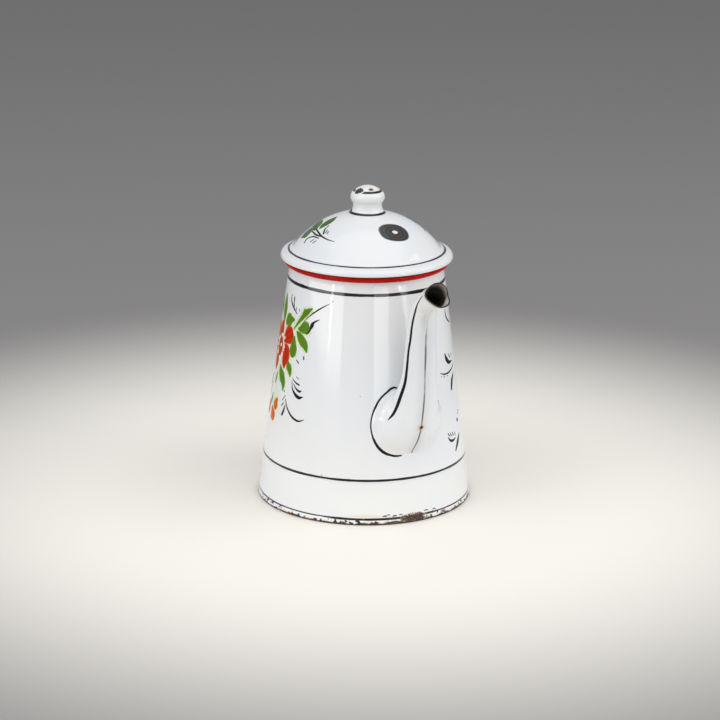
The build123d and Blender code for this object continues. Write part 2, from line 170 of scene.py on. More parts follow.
def noise(where, scale, detail=2.0, rough=0.5, distortion=0.0):
    settings = {"Vector": where, "Scale": scale, "Detail": detail}
    settings |= {"Roughness": rough, "Distortion": distortion}
    return value(where.tree, "ShaderNodeTexNoise", settings)


EDGE = 9  # of the floor, in m, out of sight
floor_mesh = bpy.data.meshes.new("floor")
corners = [(x * EDGE, y * EDGE, 0) for x, y in ((-1, -1), (1, -1), (1, 1), (-1, 1))]
floor_mesh.from_pydata(corners, [], [(0, 1, 2, 3)])
floor = bpy.data.objects.new("floor", floor_mesh)
floor.location.z = -0.0001
scene.collection.objects.link(floor)
floor_material = bpy.data.materials.new("floor_paper")
floor_material.use_nodes = True
tree = floor_material.node_tree
place = value(tree, "ShaderNodeTexCoord", out="Object")
away = place.vector("LENGTH", out=1)
tone = mix(away.ease(0.17, 0.5), (0.95, 0.915, 0.835, 1), (0.26, 0.25, 0.245, 1))
paper = tree.nodes["Principled BSDF"]
tree.links.new(tone.socket, paper.inputs["Base Color"])
paper.inputs["Roughness"].default_value = 0.9
floor_mesh.materials.append(floor_material)

# ---- Body wall ------------------------------------------------------------------------
# The pot's cone: sheet steel rolled and seamed, with a short hollow neck, dipped in white
# enamel. Its top edge is rolled round a wire and coated red. Black lines are banded on.


def arc(centre, radius, start, end, step=7.0):
    """Points on an arc about a centre in the profile plane, from one angle to another."""
    count = max(2, int(abs(end - start) / step) + 1)
    angles = [radians(start + (end - start) * i / count) for i in range(count + 1)]
    return [(centre[0] + radius * cos(a), centre[1] + radius * sin(a)) for a in angles]


def rounded(corners, radii, step=2.5):
    """A line through corners, each turned on an arc, with a point at least every step mm."""
    points = [Vector(corners[0])]
    for before, here, after, turn in zip(corners, corners[1:], corners[2:], radii):
        here = Vector(here)
        back, on = (Vector(before) - here), (Vector(after) - here)
        half = back.angle(on) / 2
        reach = min(turn / np.tan(half), 0.49 * back.length, 0.49 * on.length)
        turn = reach * np.tan(half)
        middle = here + (back.normalized() + on.normalized()).normalized() * turn / sin(half)
        first, last = here + back.normalized() * reach, here + on.normalized() * reach
        swing = (first - middle).angle_signed(last - middle)
        count = max(2, int(abs(degrees(swing)) / 8) + 1)
        for i in range(count + 1):
            points.append(middle + Matrix.Rotation(-swing * i / count, 2) @ (first - middle))
    points.append(Vector(corners[-1]))
    line = [tuple(points[0])]
    for a, b in zip(points, points[1:]):
        count = max(1, int((b - a).length / step + 0.999))
        line += [tuple(a.lerp(b, (i + 1) / count)) for i in range(count)]
    apart = [hypot(b[0] - a[0], b[1] - a[1]) > 0.02 for a, b in zip(line, line[1:])]
    return [point for point, kept in zip(line, [True, *apart]) if kept]


def sheet(line, thickness, open_start=False):
    """Outline of a sheet that follows a line. It lies to the line's left, or if the
    thickness is negative to its right, and its ends are rounded."""
    at = np.array(line, float)
    along = np.gradient(at, axis=0)
    along /= np.linalg.norm(along, axis=1)[:, None]
    side = np.stack([-along[:, 1], along[:, 0]], 1) * thickness
    other = at + side
    end, start = [], []
    for i in range(1, 6):
        over, on = (1 - cos(pi * i / 6)) / 2, abs(thickness) / 2 * sin(pi * i / 6)
        end.append(at[-1] + side[-1] * over + along[-1] * on)
        start.append(other[0] - side[0] * over - along[0] * on)
    if open_start:
        other[0][0] = 0
        start = []
    return [tuple(p) for p in [*at, *end, *other[::-1], *start]]


def new_tree(name, kind, inputs, outputs):
    """A node group with these sockets, and what its inputs give."""
    tree = bpy.data.node_groups.new(name, kind + "NodeTree")
    for in_out, sockets in (("OUTPUT", outputs), ("INPUT", inputs)):
        for label, sort in sockets.items():
            tree.interface.new_socket(label, in_out=in_out, socket_type="NodeSocket" + sort)
    ends = add_node(tree, "NodeGroupInput").outputs
    return tree, {label: Value(tree, ends[label]) for label in inputs}


def end_tree(tree, shape, material):
    """Last nodes of a geometry tree: realized, with its material."""
    real = value(tree, "GeometryNodeRealizeInstances", {0: shape})
    done = value(tree, "GeometryNodeSetMaterial", {"Geometry": real, "Material": material})
    add_node(tree, "NodeGroupOutput", {0: done})


def new_object(name, data):
    made = bpy.data.objects.new(name, data)
    scene.collection.objects.link(made)
    return made


def finished_mesh(source, modifier):
    """The plain mesh that a modifier makes of an object, which then loses the modifier."""
    bpy.context.view_layer.update()
    seen = source.evaluated_get(bpy.context.evaluated_depsgraph_get())
    mesh = bpy.data.meshes.new_from_object(seen)
    source.modifiers.remove(modifier)
    return mesh


def grown(name, data, tree, values):
    """The object that a geometry tree makes of a mesh or a curve."""
    source = new_object(name, data)
    modifier = source.modifiers.new("tree", "NODES")
    modifier.node_group = tree
    for item in tree.interface.items_tree:
        if item.name in values and item.in_out == "INPUT":
            modifier[item.identifier] = values[item.name]
    mesh = finished_mesh(source, modifier)
    bpy.data.objects.remove(source)
    bm = bmesh.new()
    bm.from_mesh(mesh)
    if bm.calc_volume(signed=True) < 0:
        bmesh.ops.reverse_faces(bm, faces=bm.faces)
    bm.to_mesh(mesh)
    bm.free()
    mesh.name = name
    return new_object(name, mesh)


# Turns a profile, which is points in order, round the pot's axis
SHAPE = {"Geometry": "Geometry"}
turning, given = new_tree(
    "turned_sheet",
    "Geometry",
    {**SHAPE, "Facets": "Int", "Closed": "Bool", "Material": "Material"},
    SHAPE,
)
profile, facets = given["Geometry"], given["Facets"]
count = value(turning, "GeometryNodeAttributeDomainSize", {0: profile})
row = facets + 1.0
rows = {"Vertices X": count + given["Closed"], "Vertices Y": row}
grid = value(turning, "GeometryNodeMeshGrid", rows)
index = value(turning, "GeometryNodeInputIndex")
step = ((index + 0.5) / row).do("FLOOR")
angle = (index - step * row) / facets * (2 * pi)
position = value(turning, "GeometryNodeInputPosition")
wanted = {"Geometry": profile, "Value": position, "Index": step.do("MODULO", count)}
point = value(turning, "GeometryNodeSampleIndex", wanted, data_type="FLOAT_VECTOR")
out, _, up = point.split()
turned_to = {"X": out * angle.do("COSINE"), "Y": out * angle.do("SINE"), "Z": up}
turned_to = value(turning, "ShaderNodeCombineXYZ", turned_to)
shape = value(turning, "GeometryNodeSetPosition", {"Geometry": grid, "Position": turned_to})
shape = value(turning, "GeometryNodeMergeByDistance", {"Geometry": shape, "Distance": 1e-6})
bend = value(turning, "GeometryNodeInputMeshEdgeAngle")
soft = value(turning, "FunctionNodeCompare", {0: bend, 1: radians(40)}, operation="LESS_THAN")
shading = {0: shape, "Shade Smooth": soft}
shape = value(turning, "GeometryNodeSetShadeSmooth", shading, domain="EDGE")
end_tree(turning, shape, given["Material"])


def turned(name, profile, material, closed=True, facets=256):
    """A piece turned from the points (mm out from the axis, mm up) of its profile."""
    mesh = bpy.data.meshes.new(name)
    mesh.from_pydata([(r * MM, 0, z * MM) for r, z in profile], [], [])
    return grown(name, mesh, turning, {"Facets": facets, "Closed": closed, "Material": material})


# White glass coat: cloudy in tone, with an orange-peel skin and a few burst pinholes.
# Heights are in mm, here and in the other coats.
glaze, given = new_tree(
    "glaze",
    "Shader",
    {"Vector": "Vector", "Colour": "Color"},
    {"Colour": "Color", "Roughness": "Float", "Height": "Float"},
)
where = given["Vector"]
tint = mix(noise(where, 17, 3).ease(0.35, 0.68), (0.965, 0.982, 1, 1), (1, 0.993, 0.972, 1))
tinted = {0: 1.0, 6: given["Colour"], 7: tint}
colour = value(glaze, "ShaderNodeMix", tinted, 2, data_type="RGBA", blend_type="MULTIPLY")
cells = add_node(glaze, "ShaderNodeTexVoronoi", {"Vector": where, "Scale": 190.0}).outputs
chosen = value(glaze, "ShaderNodeSeparateColor", {0: Value(glaze, cells["Color"])})
size = chosen.ease(0.945, 1.0) * 0.085
pinhole = (Value(glaze, cells["Distance"]) - size).ease(0.012, -0.012) * chosen.ease(0.94, 0.95)
colour = mix(pinhole * 0.85, colour, (0.09, 0.07, 0.055, 1))
height = noise(where, 330, 2) * 0.011 + noise(where, 34, 1) * 0.12 - pinhole * 0.08
gloss = noise(where, 75, 4) * 0.10 + 0.025 + pinhole * 0.4
add_node(glaze, "NodeGroupOutput", {"Colour": colour, "Roughness": gloss, "Height": height})

# A line banded on with a brush while the piece turns: it wanders and swells a little
banding, given = new_tree(
    "banded_line",
    "Shader",
    {"Vector": "Vector", "Measure": "Float", "Place": "Float", "Width": "Float"},
    {"Mask": "Float"},
)
where = given["Vector"]
wander = (noise(where, 16, 2) - 0.5) * 0.7
off = abs(given["Measure"] - given["Place"] + wander)
half = given["Width"] * (noise(where, 60, 3) * 0.55 + 0.23)
add_node(banding, "NodeGroupOutput", {"Mask": off.ease(half + 0.1, half * 0.82)})

# Where enamel has flaked from a rim or an edge, and the stain round the bare iron
flaking, given = new_tree(
    "flaked_edge",
    "Shader",
    {"Vector": "Vector", "Distance": "Float", "Reach": "Float", "Amount": "Float"},
    {"Chip": "Float", "Stain": "Float"},
)
where = given["Vector"]
level = noise(where, 38, 3, 0.55) * 1.15 + noise(where, 210, 5, 0.62, 0.6) * 0.75
level = level + given["Amount"] - given["Distance"] / given["Reach"]
masks = {"Chip": level.ease(0.97, 1.0), "Stain": level.ease(0.78, 1.02)}
add_node(flaking, "NodeGroupOutput", masks)

# Bare iron, near black where it is sound and orange-brown where it rusts
rusting, given = new_tree(
    "rusty_iron",
    "Shader",
    {"Vector": "Vector"},
    {"Colour": "Color", "Roughness": "Float", "Height": "Float"},
)
where = given["Vector"]
bloom = noise(where, 260, 6, 0.65)
rust = (bloom + noise(where, 60, 3) * 0.5).ease(0.74, 0.9)
colour = mix(bloom.ease(0.35, 0.65), (0.012, 0.008, 0.006, 1), (0.060, 0.029, 0.018, 1))
colour = mix(rust, colour, (0.16, 0.056, 0.021, 1))
iron = {"Colour": colour, "Roughness": rust * 0.25 + 0.55, "Height": bloom * 0.12}
add_node(rusting, "NodeGroupOutput", iron)

WHITE = (0.80, 0.805, 0.81, 1)
BLACK = (0.012, 0.012, 0.013, 1)
RED = (0.50, 0.006, 0.003, 1)


class Finish:
    """A surface made up in coats, from the ground coat up. Its measures are in mm, and only
    the pattern of a noise is in m."""

    def __init__(self, name, ground=WHITE):
        self.material = bpy.data.materials.new(name)
        self.material.use_nodes = True
        self.tree = self.material.node_tree
        self.shader = self.tree.nodes["Principled BSDF"]
        self.where = value(self.tree, "ShaderNodeTexCoord", out="Object")
        self.at = self.where.vector("MULTIPLY", (1000, 1000, 1000))
        self.x, self.y, self.z = self.at.split()
        self.colour, self.roughness, self.height = self.use(glaze, Colour=ground)

    def use(self, group, **inputs):
        """What a node group gives for these inputs."""
        inputs["Vector"] = self.where
        made = add_node(self.tree, "ShaderNodeGroup", inputs, node_tree=group)
        return [Value(self.tree, out) for out in made.outputs]

    def set(self, name, constant):
        self.shader.inputs[name].default_value = constant

    def noise(self, *settings):
        return noise(self.where, *settings)

    def out(self):
        """How far a point is from the pot's axis."""
        return (self.x * self.x + self.y * self.y).do("SQRT")

    def near(self, place, stretch=(1, 1, 1)):
        """How far a point is from a place, each axis stretched."""
        gap = self.at.vector("SUBTRACT", place).vector("MULTIPLY", stretch)
        return gap.vector("LENGTH", out=1)

    def along(self, place, way):
        """How far a point is past a place along a direction."""
        return self.at.vector("SUBTRACT", place).vector("DOT_PRODUCT", way, out=1)

    def coat(self, mask, colour, roughness=None):
        self.colour = mix(mask, self.colour, colour)
        if roughness is not None:
            self.roughness = self.roughness + mask * (roughness - self.roughness)

    def dent(self, mask, depth):
        self.height = self.height - mask * depth

    def line(self, measure, place, width, share=1.0):
        """A black line banded on where the measure is at a place."""
        mask = self.use(banding, Measure=measure, Place=place, Width=width)[0]
        self.coat(mask * share, BLACK)

    def flake(self, distance, reach, amount):
        """Flakes enamel off towards an edge, down to rusty iron in a yellow-brown stain."""
        chip, stain = self.use(flaking, Distance=distance, Reach=reach, Amount=amount)
        self.coat(stain * 0.42, (0.55, 0.36, 0.17, 1))
        self.bare(chip)

    def bare(self, chip, depth=0.25):
        """Takes the enamel off to the iron."""
        colour, roughness, height = self.use(rusting)
        self.coat(chip, colour, roughness)
        self.dent(chip, depth)
        self.height = self.height + chip * height

    def done(self):
        bump = value(self.tree, "ShaderNodeBump", {"Height": self.height, "Distance": MM})
        ends = {"Base Color": self.colour, "Roughness": self.roughness, "Normal": bump}
        for label, given in ends.items():
            self.tree.links.new(given.socket, self.shader.inputs[label])
        return self.material


ROLL = (52.55, 161.55)  # middle of the rolled rim, out and up
SHEET = 0.9  # thickness of the steel with its enamel
NECK_LINE, STEP_LINE = 151.15, 29.9  # heights of the two painted lines
wall_line = rounded(
    [(68.7, 28.6), (52.4, 151.3), (51.5, 156.5), (51.3, 159.4), (51.3, ROLL[1])], [3, 4, 4]
)
wall_line += arc(ROLL, 1.25, 180, -105)[1:]

wall = Finish("wall_enamel")
across, up = wall.out() - ROLL[0], wall.z - ROLL[1]
roll = (across * across + up * up).do("SQRT") + wall.noise(40, 2) * 0.3
# A near-black line painted on the neck just under the roll: painted shadow cast by the roll
shadow_under_roll = roll.ease(3.1, 2.7) * wall.z.ease(160.6, 160.2)
wall.coat(shadow_under_roll * 0.85, (0.05, 0.014, 0.011, 1), 0.4)
deep = mix(wall.noise(30, 3).ease(0.35, 0.7), RED, (0.37, 0.004, 0.003, 1))
wall.coat(roll.ease(2.62, 2.48), deep)
wall.line(wall.z, NECK_LINE, 2.2)
wall.line(wall.z, STEP_LINE, 1.55)
# Round each spray the white took a faint green-yellow cast in the firing
flank = abs(wall.y).ease(35, 45)
for around, height, reach in ((-6, 107, 34), (-10, 66, 17)):
    beside, above = (wall.x - around) / 0.6, wall.z - height
    span = (beside * beside + above * above).do("SQRT")
    wall.coat(span.ease(reach, 0.4 * reach) * flank * 0.75, (0.72, 0.78, 0.58, 1))
body = turned("body_wall_sheet", sheet(wall_line, SHEET), wall.done())

# Strainer: nineteen holes punched through the wall behind the spout
punching, given = new_tree(
    "strainer_holes",
    "Geometry",
    {**SHAPE, "Radius": "Float", "Pitch": "Float", "Material": "Material"},
    SHAPE,
)
join = add_node(punching, "GeometryNodeJoinGeometry")
for ring in (1, 2):
    round_it = {"Vertices": 6 * ring, "Radius": given["Pitch"] * float(ring)}
    circle = value(punching, "GeometryNodeMeshCircle", round_it)
    punching.links.new(circle.socket, join.inputs[0])
middle = value(punching, "GeometryNodeMeshLine", {"Count": 1})
punching.links.new(middle.socket, join.inputs[0])
punch = {"Vertices": 20, "Radius": given["Radius"], "Depth": 0.02}
punch = value(punching, "GeometryNodeMeshCylinder", punch)
spread = {"Points": Value(punching, join.outputs[0]), "Instance": punch}
holes = value(punching, "GeometryNodeInstanceOnPoints", spread)
end_tree(punching, holes, given["Material"])
HOLE, PITCH = 1.7, 7.0  # radius of a hole, and from one ring to the next
STRAINER = Vector((62.5, 0, 62.5))  # the middle hole
values = {"Radius": HOLE * MM, "Pitch": PITCH * MM, "Material": wall.material}
punches = grown("punches", bpy.data.meshes.new("punches"), punching, values)
punches.data.transform(Matrix.Translation(STRAINER * MM) @ Matrix.Rotation(radians(90), 4, "Y"))
cut = body.modifiers.new("strainer", "BOOLEAN")
cut.object = punches
cut.operation = "DIFFERENCE"
cut.solver = "EXACT"
body.data = finished_mesh(body, cut)
bpy.data.objects.remove(punches)


def finish_faces(mesh, material, chosen):
    """Gives the chosen faces of a mesh a finish of their own."""
    mesh.materials.append(material)
    for face in mesh.polygons:
        if chosen(face):
            face.material_index = len(mesh.materials) - 1


def looks_in(face):
    """Whether a face looks towards the pot's axis."""
    middle, way = face.center, face.normal
    return middle.x * way.x + middle.y * way.y < -0.01 * middle.xy.length


# Inside, the sheet has its plain white coat only
plain = Finish("plain_enamel").done()
finish_faces(body.data, plain, looks_in)

# The red of the roll is a soft-set enamel, less glassy than the white
RED_FROM = 159.9  # height at which it starts
red = Finish("rim_red", (0.50, 0.007, 0.003, 1))
red.coat(red.noise(30, 3).ease(0.38, 0.7), (0.40, 0.004, 0.0025, 1))
# Darker towards the top of the roll: painted shade under the lid's hem
red.coat(red.z.ease(162.2, 163.2) * 0.75, (0.17, 0.004, 0.004, 1), 0.3)
red.coat(red.noise(120, 4).ease(0.62, 0.72) * 0.5, (0.12, 0.01, 0.006, 1), 0.5)
red.set("Specular IOR Level", 0.08)
finish_faces(body.data, red.done(), lambda face: face.center.z > RED_FROM * MM)
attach(body, "pot")
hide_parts("body_wall")

# ---- Rim wire -------------------------------------------------------------------------
# The steel wire that the rim is rolled round. It is out of sight in the roll, so it keeps
# its CAD shape and takes only the dull, spotted finish of tinned steel.
steel = Finish("tinned_steel", (0.30, 0.29, 0.275, 1))
colour, roughness, _ = steel.use(rusting)
steel.coat(steel.noise(85, 5).ease(0.56, 0.66), colour, roughness)
steel.coat(steel.noise(30, 3).ease(0.4, 0.62) * 0.6, (0.11, 0.10, 0.095, 1), 0.5)
steel.set("Metallic", 0.85)
steel.roughness = steel.roughness * 0.7 + 0.28
tinned = steel.done()
wire = nodes["rim_wire"].data
wire.materials.clear()
wire.materials.append(tinned)

# ---- Foot band ------------------------------------------------------------------------
# A flared skirt under the wall, its lower edge rolled in to hold the bottom. The roll is
# where the enamel has flaked most.
band_line = rounded(
    [(66.94, 34.6), (67.9, 29.2), (68.45, 27.3), (71.2, 3.9), (72, 2.3),
     (72, 0.45), (71.55, 0), (68.25, 0), (68.25, 2.8)],
    [1.0, 1.5, 1.5, 1.5, 0.6, 0.6, 1.2],
    1.5,
)
band = Finish("band_enamel")
front = band.near((71.5, -2, 2)).ease(55, 0)
worst = band.near((71.5, -4, 3)).ease(11, 2)
band.line(band.z, 4.0, 0.85)
band.line(band.z, 4.0, 1.5, share=band.near((70, -20, 4)).ease(46, 30))
stain = band.near((64.1, -32.6, 5.9), (1, 1, 14)).ease(22, 0) * 0.55
band.coat(stain, (0.78, 0.57, 0.35, 1))
band.flake(abs(band.z - 5.2), 2.6, front * 0.3 - 0.42)
band.flake(band.z, 6.0, front * 0.10 + 0.11 + worst * 0.2)
# Two clusters of fine rust under the spout, a web of brown with cream between
fine = band.noise(520, 4, 0.6)
web = abs(fine - 0.5).ease(0.075, 0.035)
for centre, spread, size in (
    ((71.8, 0.4, 3.2), (1, 0.34, 1.05), 3.6),
    ((67.6, 24.6, 2.0), (0.6, 0.6, 1.1), 2.0),
):
    cluster = band.near(centre, spread) + band.noise(260, 4) * 2.8
    inside = cluster.ease(size + 1.6, size + 0.9)
    band.coat(inside * 0.55, (0.62, 0.47, 0.32, 1), 0.4)
    band.bare(inside * web, 0.1)
    heart = cluster.ease(size + 0.4, size - 0.4)
    band.bare(heart, 0.15)
    band.coat(heart * fine.ease(0.46, 0.52), (0.035, 0.016, 0.009, 1))
# Bubbles of rust that broke through above the line, of which the upper arcs show
BUBBLES = (  # place and radius
    (68.9, -20.4, 5.2, 1.4), (69.6, -17.9, 6.0, 1.2), (70.5, -13.8, 5.0, 1.4),
    (71.2, -9.5, 5.6, 1.2), (70.7, 9.6, 5.6, 1.3), (69.6, 16.4, 5.2, 1.2),
)
for x, y, z, size in BUBBLES:
    bubble = band.near((x, y, z), (1, 1, 1.4)) - size + (band.noise(300, 3) - 0.5) * 0.7
    band.bare(abs(bubble).ease(0.65, 0.35) * band.z.ease(z, z + 0.4), 0.05)
# Single spots of rust
SPOTS = (
    (62.6, 35.4, 0.9, 1.1), (55.9, 45.3, 2.9, 0.45), (51.2, -50.5, 5.25, 0.4),
    (54.9, -46.4, 1.1, 0.9), (65.7, -29.1, 1.3, 0.9),
)
for *place, size in SPOTS:
    spot = band.near(place) + (band.noise(400, 3) - 0.5) * 1.2
    band.bare(spot.ease(size, size - 0.15), 0.1)
# The lower edge has worn through in small bites. The near-black band all round its foot is partly
# that worn iron and partly painted contact shadow where it stands on the floor.
bites = band.noise(400, 3).ease(0.46, 0.74) * 3.6
ragged = band.z - band.noise(170, 4) * 1.3 - bites
band.coat(ragged.ease(1.0, 0.2) * 0.5, (0.42, 0.27, 0.13, 1), 0.4)
worn_and_contact_shade = ragged.ease(0.4, 0.2)
band.bare(worn_and_contact_shade, 0.1)
# Near-black over the bare iron at the foot: partly painted contact shadow
band.coat(worn_and_contact_shade * 0.7, (0.018, 0.008, 0.005, 1))
foot = turned("foot_band_sheet", sheet(band_line, -SHEET), band.done())
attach(foot, "pot")
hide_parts("foot_band")

# ---- Bottom ---------------------------------------------------------------------------
# A shallow pressed dish, its flange gripped in the rolled foot. Its underside has the
# scuffs and rust of years on a stove.
dish_line = rounded([(0, 4.7), (54, 4.7), (57, 3.9), (70.1, 3.9), (70.1, 1.8)], [1.5, 1.5, 1.2])
dish_line = sheet(dish_line, -SHEET, open_start=True)
dish = Finish("bottom_enamel")
dish.coat(dish.noise(26, 5).ease(0.42, 0.75) * 0.5, (0.42, 0.36, 0.29, 1), 0.35)
dish.flake(70.5 - dish.out(), 9.0, 0.1)
bottom = turned("bottom_sheet", dish_line, dish.done(), closed=False)
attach(bottom, "pot")
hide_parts("bottom_dish")

# ---- Lid ------------------------------------------------------------------------------
# Dome and brim in one pressing, its edge hemmed under. On the front of the dome the enamel
# has been knocked off in one shell-shaped chip, down to dark iron.
BALL = 61.16  # radius of the dome
BALL_HEIGHT = 134.04  # middle of the dome's ball
STEM_HOLE = 1.5  # radius of the hole under the knob
LID_FOOT = 164  # height of its lowest edge
DOME_SLOPE, BRIM_SLOPE = 52.5, 18  # degrees down from level, at the dome's edge and the brim
BEND = 4  # radius of the bend between the two
BRIM, HEM = 4.6, 0.95  # the brim's straight part, and the radius of the turned edge
EDGE_OUT, SHOULDER = 57.4, 3.744  # the lid's radius, and that of the brim's outer curve
top = 90 - degrees(asin(STEM_HOLE / BALL))
lid_line = arc((0, BALL_HEIGHT), BALL, top, 90 - DOME_SLOPE, 0.75)
edge, slant = radians(90 - DOME_SLOPE), radians(BRIM_SLOPE)
bend_middle = (lid_line[-1][0] + BEND * cos(edge), lid_line[-1][1] + BEND * sin(edge))
lid_line += arc(bend_middle, BEND, 270 - DOME_SLOPE, 270 - BRIM_SLOPE)[1:]
out, up = lid_line[-1]
for i in (1, 2, 3):
    lid_line.append((out + BRIM * cos(slant) * i / 4, up - BRIM * sin(slant) * i / 4))
low = up - (BRIM * sin(slant) + SHOULDER * cos(slant))
lid_line += arc((EDGE_OUT - SHOULDER, low), SHOULDER, 90 - BRIM_SLOPE, 0)
lid_line += arc((EDGE_OUT - HEM, LID_FOOT + HEM), HEM, 0, -90)
lid_line += [(55.6, LID_FOOT), (54.8, LID_FOOT)]

BALL_MIDDLE = Vector((0, 0, BALL_HEIGHT))
CHIP = Vector((30.4, 3.9, 186.9))
CHIP_LONG = Vector((0.02, 0.985, -0.17)).normalized()
CHIP_WAYS = (CHIP_LONG, CHIP_LONG.cross((CHIP - BALL_MIDDLE).normalized()).normalized())
CHIP_REACH = (10.4, 8.3)  # half its length and half its width
CORNERS = 2.3  # power of its outline, where 2 is an ellipse


def chip_reach(along, across):
    """0 at the chip's middle and 1 on its outline, from shares of its reach each way."""
    return (abs(along) ** CORNERS + abs(across) ** CORNERS) ** (1 / CORNERS)


dome = Finish("dome_enamel")
dome.line(dome.out(), 51.9, 1.5)
spans = [dome.along(CHIP, way) / reach for way, reach in zip(CHIP_WAYS, CHIP_REACH)]
reach = chip_reach(*spans) + (dome.noise(110, 4) - 0.5) * 0.1
inside = reach.ease(1.0, 0.965)
dome.coat(reach.ease(1.06, 0.98), (0.30, 0.28, 0.26, 1))
ridges = (dome.noise(75, 3) * 11 + reach * 22).do("SINE")
iron = mix(ridges.ease(-0.6, 1.0), (0.014, 0.014, 0.0145, 1), (0.042, 0.041, 0.040, 1))
iron = mix(dome.noise(150, 5).ease(0.5, 0.7), iron, (0.040, 0.034, 0.030, 1))
iron = mix(spans[0].ease(-0.25, -0.85) * 0.5, iron, (0.078, 0.088, 0.104, 1))
dome.coat(inside, iron, 0.42)
# A pale spot painted at the chip's heart: a painted highlight in its dimple
heart = dome.near(CHIP + Vector((0, 0.6, -0.1)), (1, 0.75, 1)) + dome.noise(420, 2) * 0.8
dome.coat(heart.ease(2.1, 1.7), (0.80, 0.74, 0.69, 1))
dome.height = dome.height + ridges * inside * 0.045
dome.flake(dome.z - LID_FOOT, 1.0, -0.22)
lid = turned("lid_dome_sheet", sheet(lid_line, -SHEET), dome.done(), facets=320)

# The chip is a real hollow, with the ripples of a broken shell round its heart
for vertex in lid.data.vertices:
    gap, up = vertex.co / MM - CHIP, vertex.co / MM - BALL_MIDDLE
    if gap.length > 14 or up.length < BALL - SHEET / 2:
        continue
    reach = chip_reach(*(gap.dot(way) / far for way, far in zip(CHIP_WAYS, CHIP_REACH)))
    if reach < 1:
        sunk = min(1, (1 - reach) / 0.09) * 0.22 + (1 - reach) * 0.2
        sunk += 0.03 * sin(26 * reach) - 0.3 * max(0, 1 - gap.length / 2.6)
        vertex.co -= up.normalized() * sunk * MM
finish_faces(lid.data, plain, looks_in)
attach(lid, "lid")
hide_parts("lid_dome")

# ---- Lid collar -----------------------------------------------------------------------
# A turned ring of the same enamelled sheet, gripped in the lid's hem. Its skirt drops into
# the neck and steadies the lid.
collar_line = rounded([(56.05, 165.85), (48.6, 165.85), (48.6, 155.0)], [1.2])
inner = Finish("collar_enamel")
inner.flake(inner.z - 154.6, 2.0, 0.08)
collar = turned("lid_collar_sheet", sheet(collar_line, SHEET), inner.done())
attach(collar, "lid")
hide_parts("lid_collar")

# ---- Knob -----------------------------------------------------------------------------
# A small hollow pressing, welded to the dome by its flared foot. Its crown has lost enamel
# where it was gripped and knocked.


def touching_arc(start, end, heading, step=6.0):
    """Arc from start to end that leaves start along a heading."""
    p, q, t = Vector(start), Vector(end), Vector(heading).normalized()
    side = Vector((-t.y, t.x))
    reach = (q - p).length_squared / (2 * (q - p).dot(side))
    middle = p + side * reach
    first = degrees(np.arctan2(p.y - middle.y, p.x - middle.x))
    swing = degrees((p - middle).angle_signed(q - middle))
    return arc(tuple(middle), abs(reach), first, first - swing, step)


KNOB_FOOT, KNOB_TALL = 193.97, 18.3  # where it meets the dome, and its height
CROWN = 13.16  # radius of its domed top
WIDEST, WAIST, BETWEEN = (11.45, 204.6), (9.6, 199.3), (10.5, 201.9)
crown_middle = (0, KNOB_FOOT + KNOB_TALL - CROWN)
knob_line = arc(crown_middle, CROWN, 90, 90 - degrees(asin(8.6 / CROWN)), 5)
knob_line += touching_arc(WIDEST, knob_line[-1], (0, 1))[::-1][1:]
knob_line += touching_arc(WIDEST, BETWEEN, (0, -1))[1:]
knob_line += touching_arc(WAIST, BETWEEN, (0, 1))[::-1][1:]
knob_line += touching_arc(WAIST, (12.2, KNOB_FOOT), (0, -1))[1:]
grip = Finish("knob_enamel")
grip.line(grip.z, KNOB_FOOT + 0.55, 1.6)
knock = grip.near((2.1, -7.7, 209.5), (1.0, 0.9, 1.1)) + grip.noise(300, 5) * 3
grip.line(grip.z, 209.0, 1.2, share=knock.ease(4.6, 5.4))
speck = grip.noise(700, 3).ease(0.5, 0.62)
speck = mix(speck, (0.010, 0.010, 0.011, 1), (0.12, 0.12, 0.125, 1))
flaked = knock.ease(4.3, 4.1)
grip.coat(flaked, speck, 0.45)
grip.dent(flaked, 0.2)
nick = grip.near((-4.2, -10.8, 194.5)) + grip.noise(420, 4) * 2
grip.coat(nick.ease(3.7, 3.4), speck, 0.45)
spot = grip.near((6.1, -0.9, 210.6), (1.2, 0.85, 1.0)) + grip.noise(300, 3) * 2.2
grip.coat(spot.ease(3.2, 2.4), (0.30, 0.17, 0.09, 1), 0.5)
grip.coat(spot.ease(2.4, 1.8), (0.05, 0.026, 0.012, 1), 0.5)
knob_line = sheet(knob_line, -SHEET, open_start=True)
knob = turned("lid_knob_sheet", knob_line, grip.done(), closed=False, facets=128)
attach(knob, "lid")
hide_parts("lid_knob")

# ---- Spout ----------------------------------------------------------------------------
# Two pressings, left and right, seamed down the front and back and welded over the
# strainer. Grime lies in the front seam, and the lip is worn to brown.
SPOUT = np.array(
    [
        # share of the rise, share of the way out, lean, half width, half depth
        (0.000, -0.18, 0, 27.0, 28.3),
        (0.086, 0.06, 13, 22.6, 20.4),
        (0.139, 0.15, 26, 17.6, 16.6),
        (0.233, 0.218, 52, 15.4, 12.1),
        (0.352, 0.314, 86, 13.0, 8.4),
        (0.540, 0.408, 88, 11.3, 6.8),
        (0.741, 0.489, 79, 10.0, 6.5),
        (0.880, 0.605, 60, 8.8, 6.8),
        (0.947, 0.80, 47, 8.1, 7.4),
        (1.000, 1.00, 45, 8.2, 8.2),
    ]
)
ROOT, TIP, REACH = 62.5, 161.0, 45.4  # heights of its two ends, and how far out it goes


def wall_radius(height):
    """Outside radius of the pot's wall at a height, in mm."""
    return 68.7 - 0.13284 * (height - 28.6)


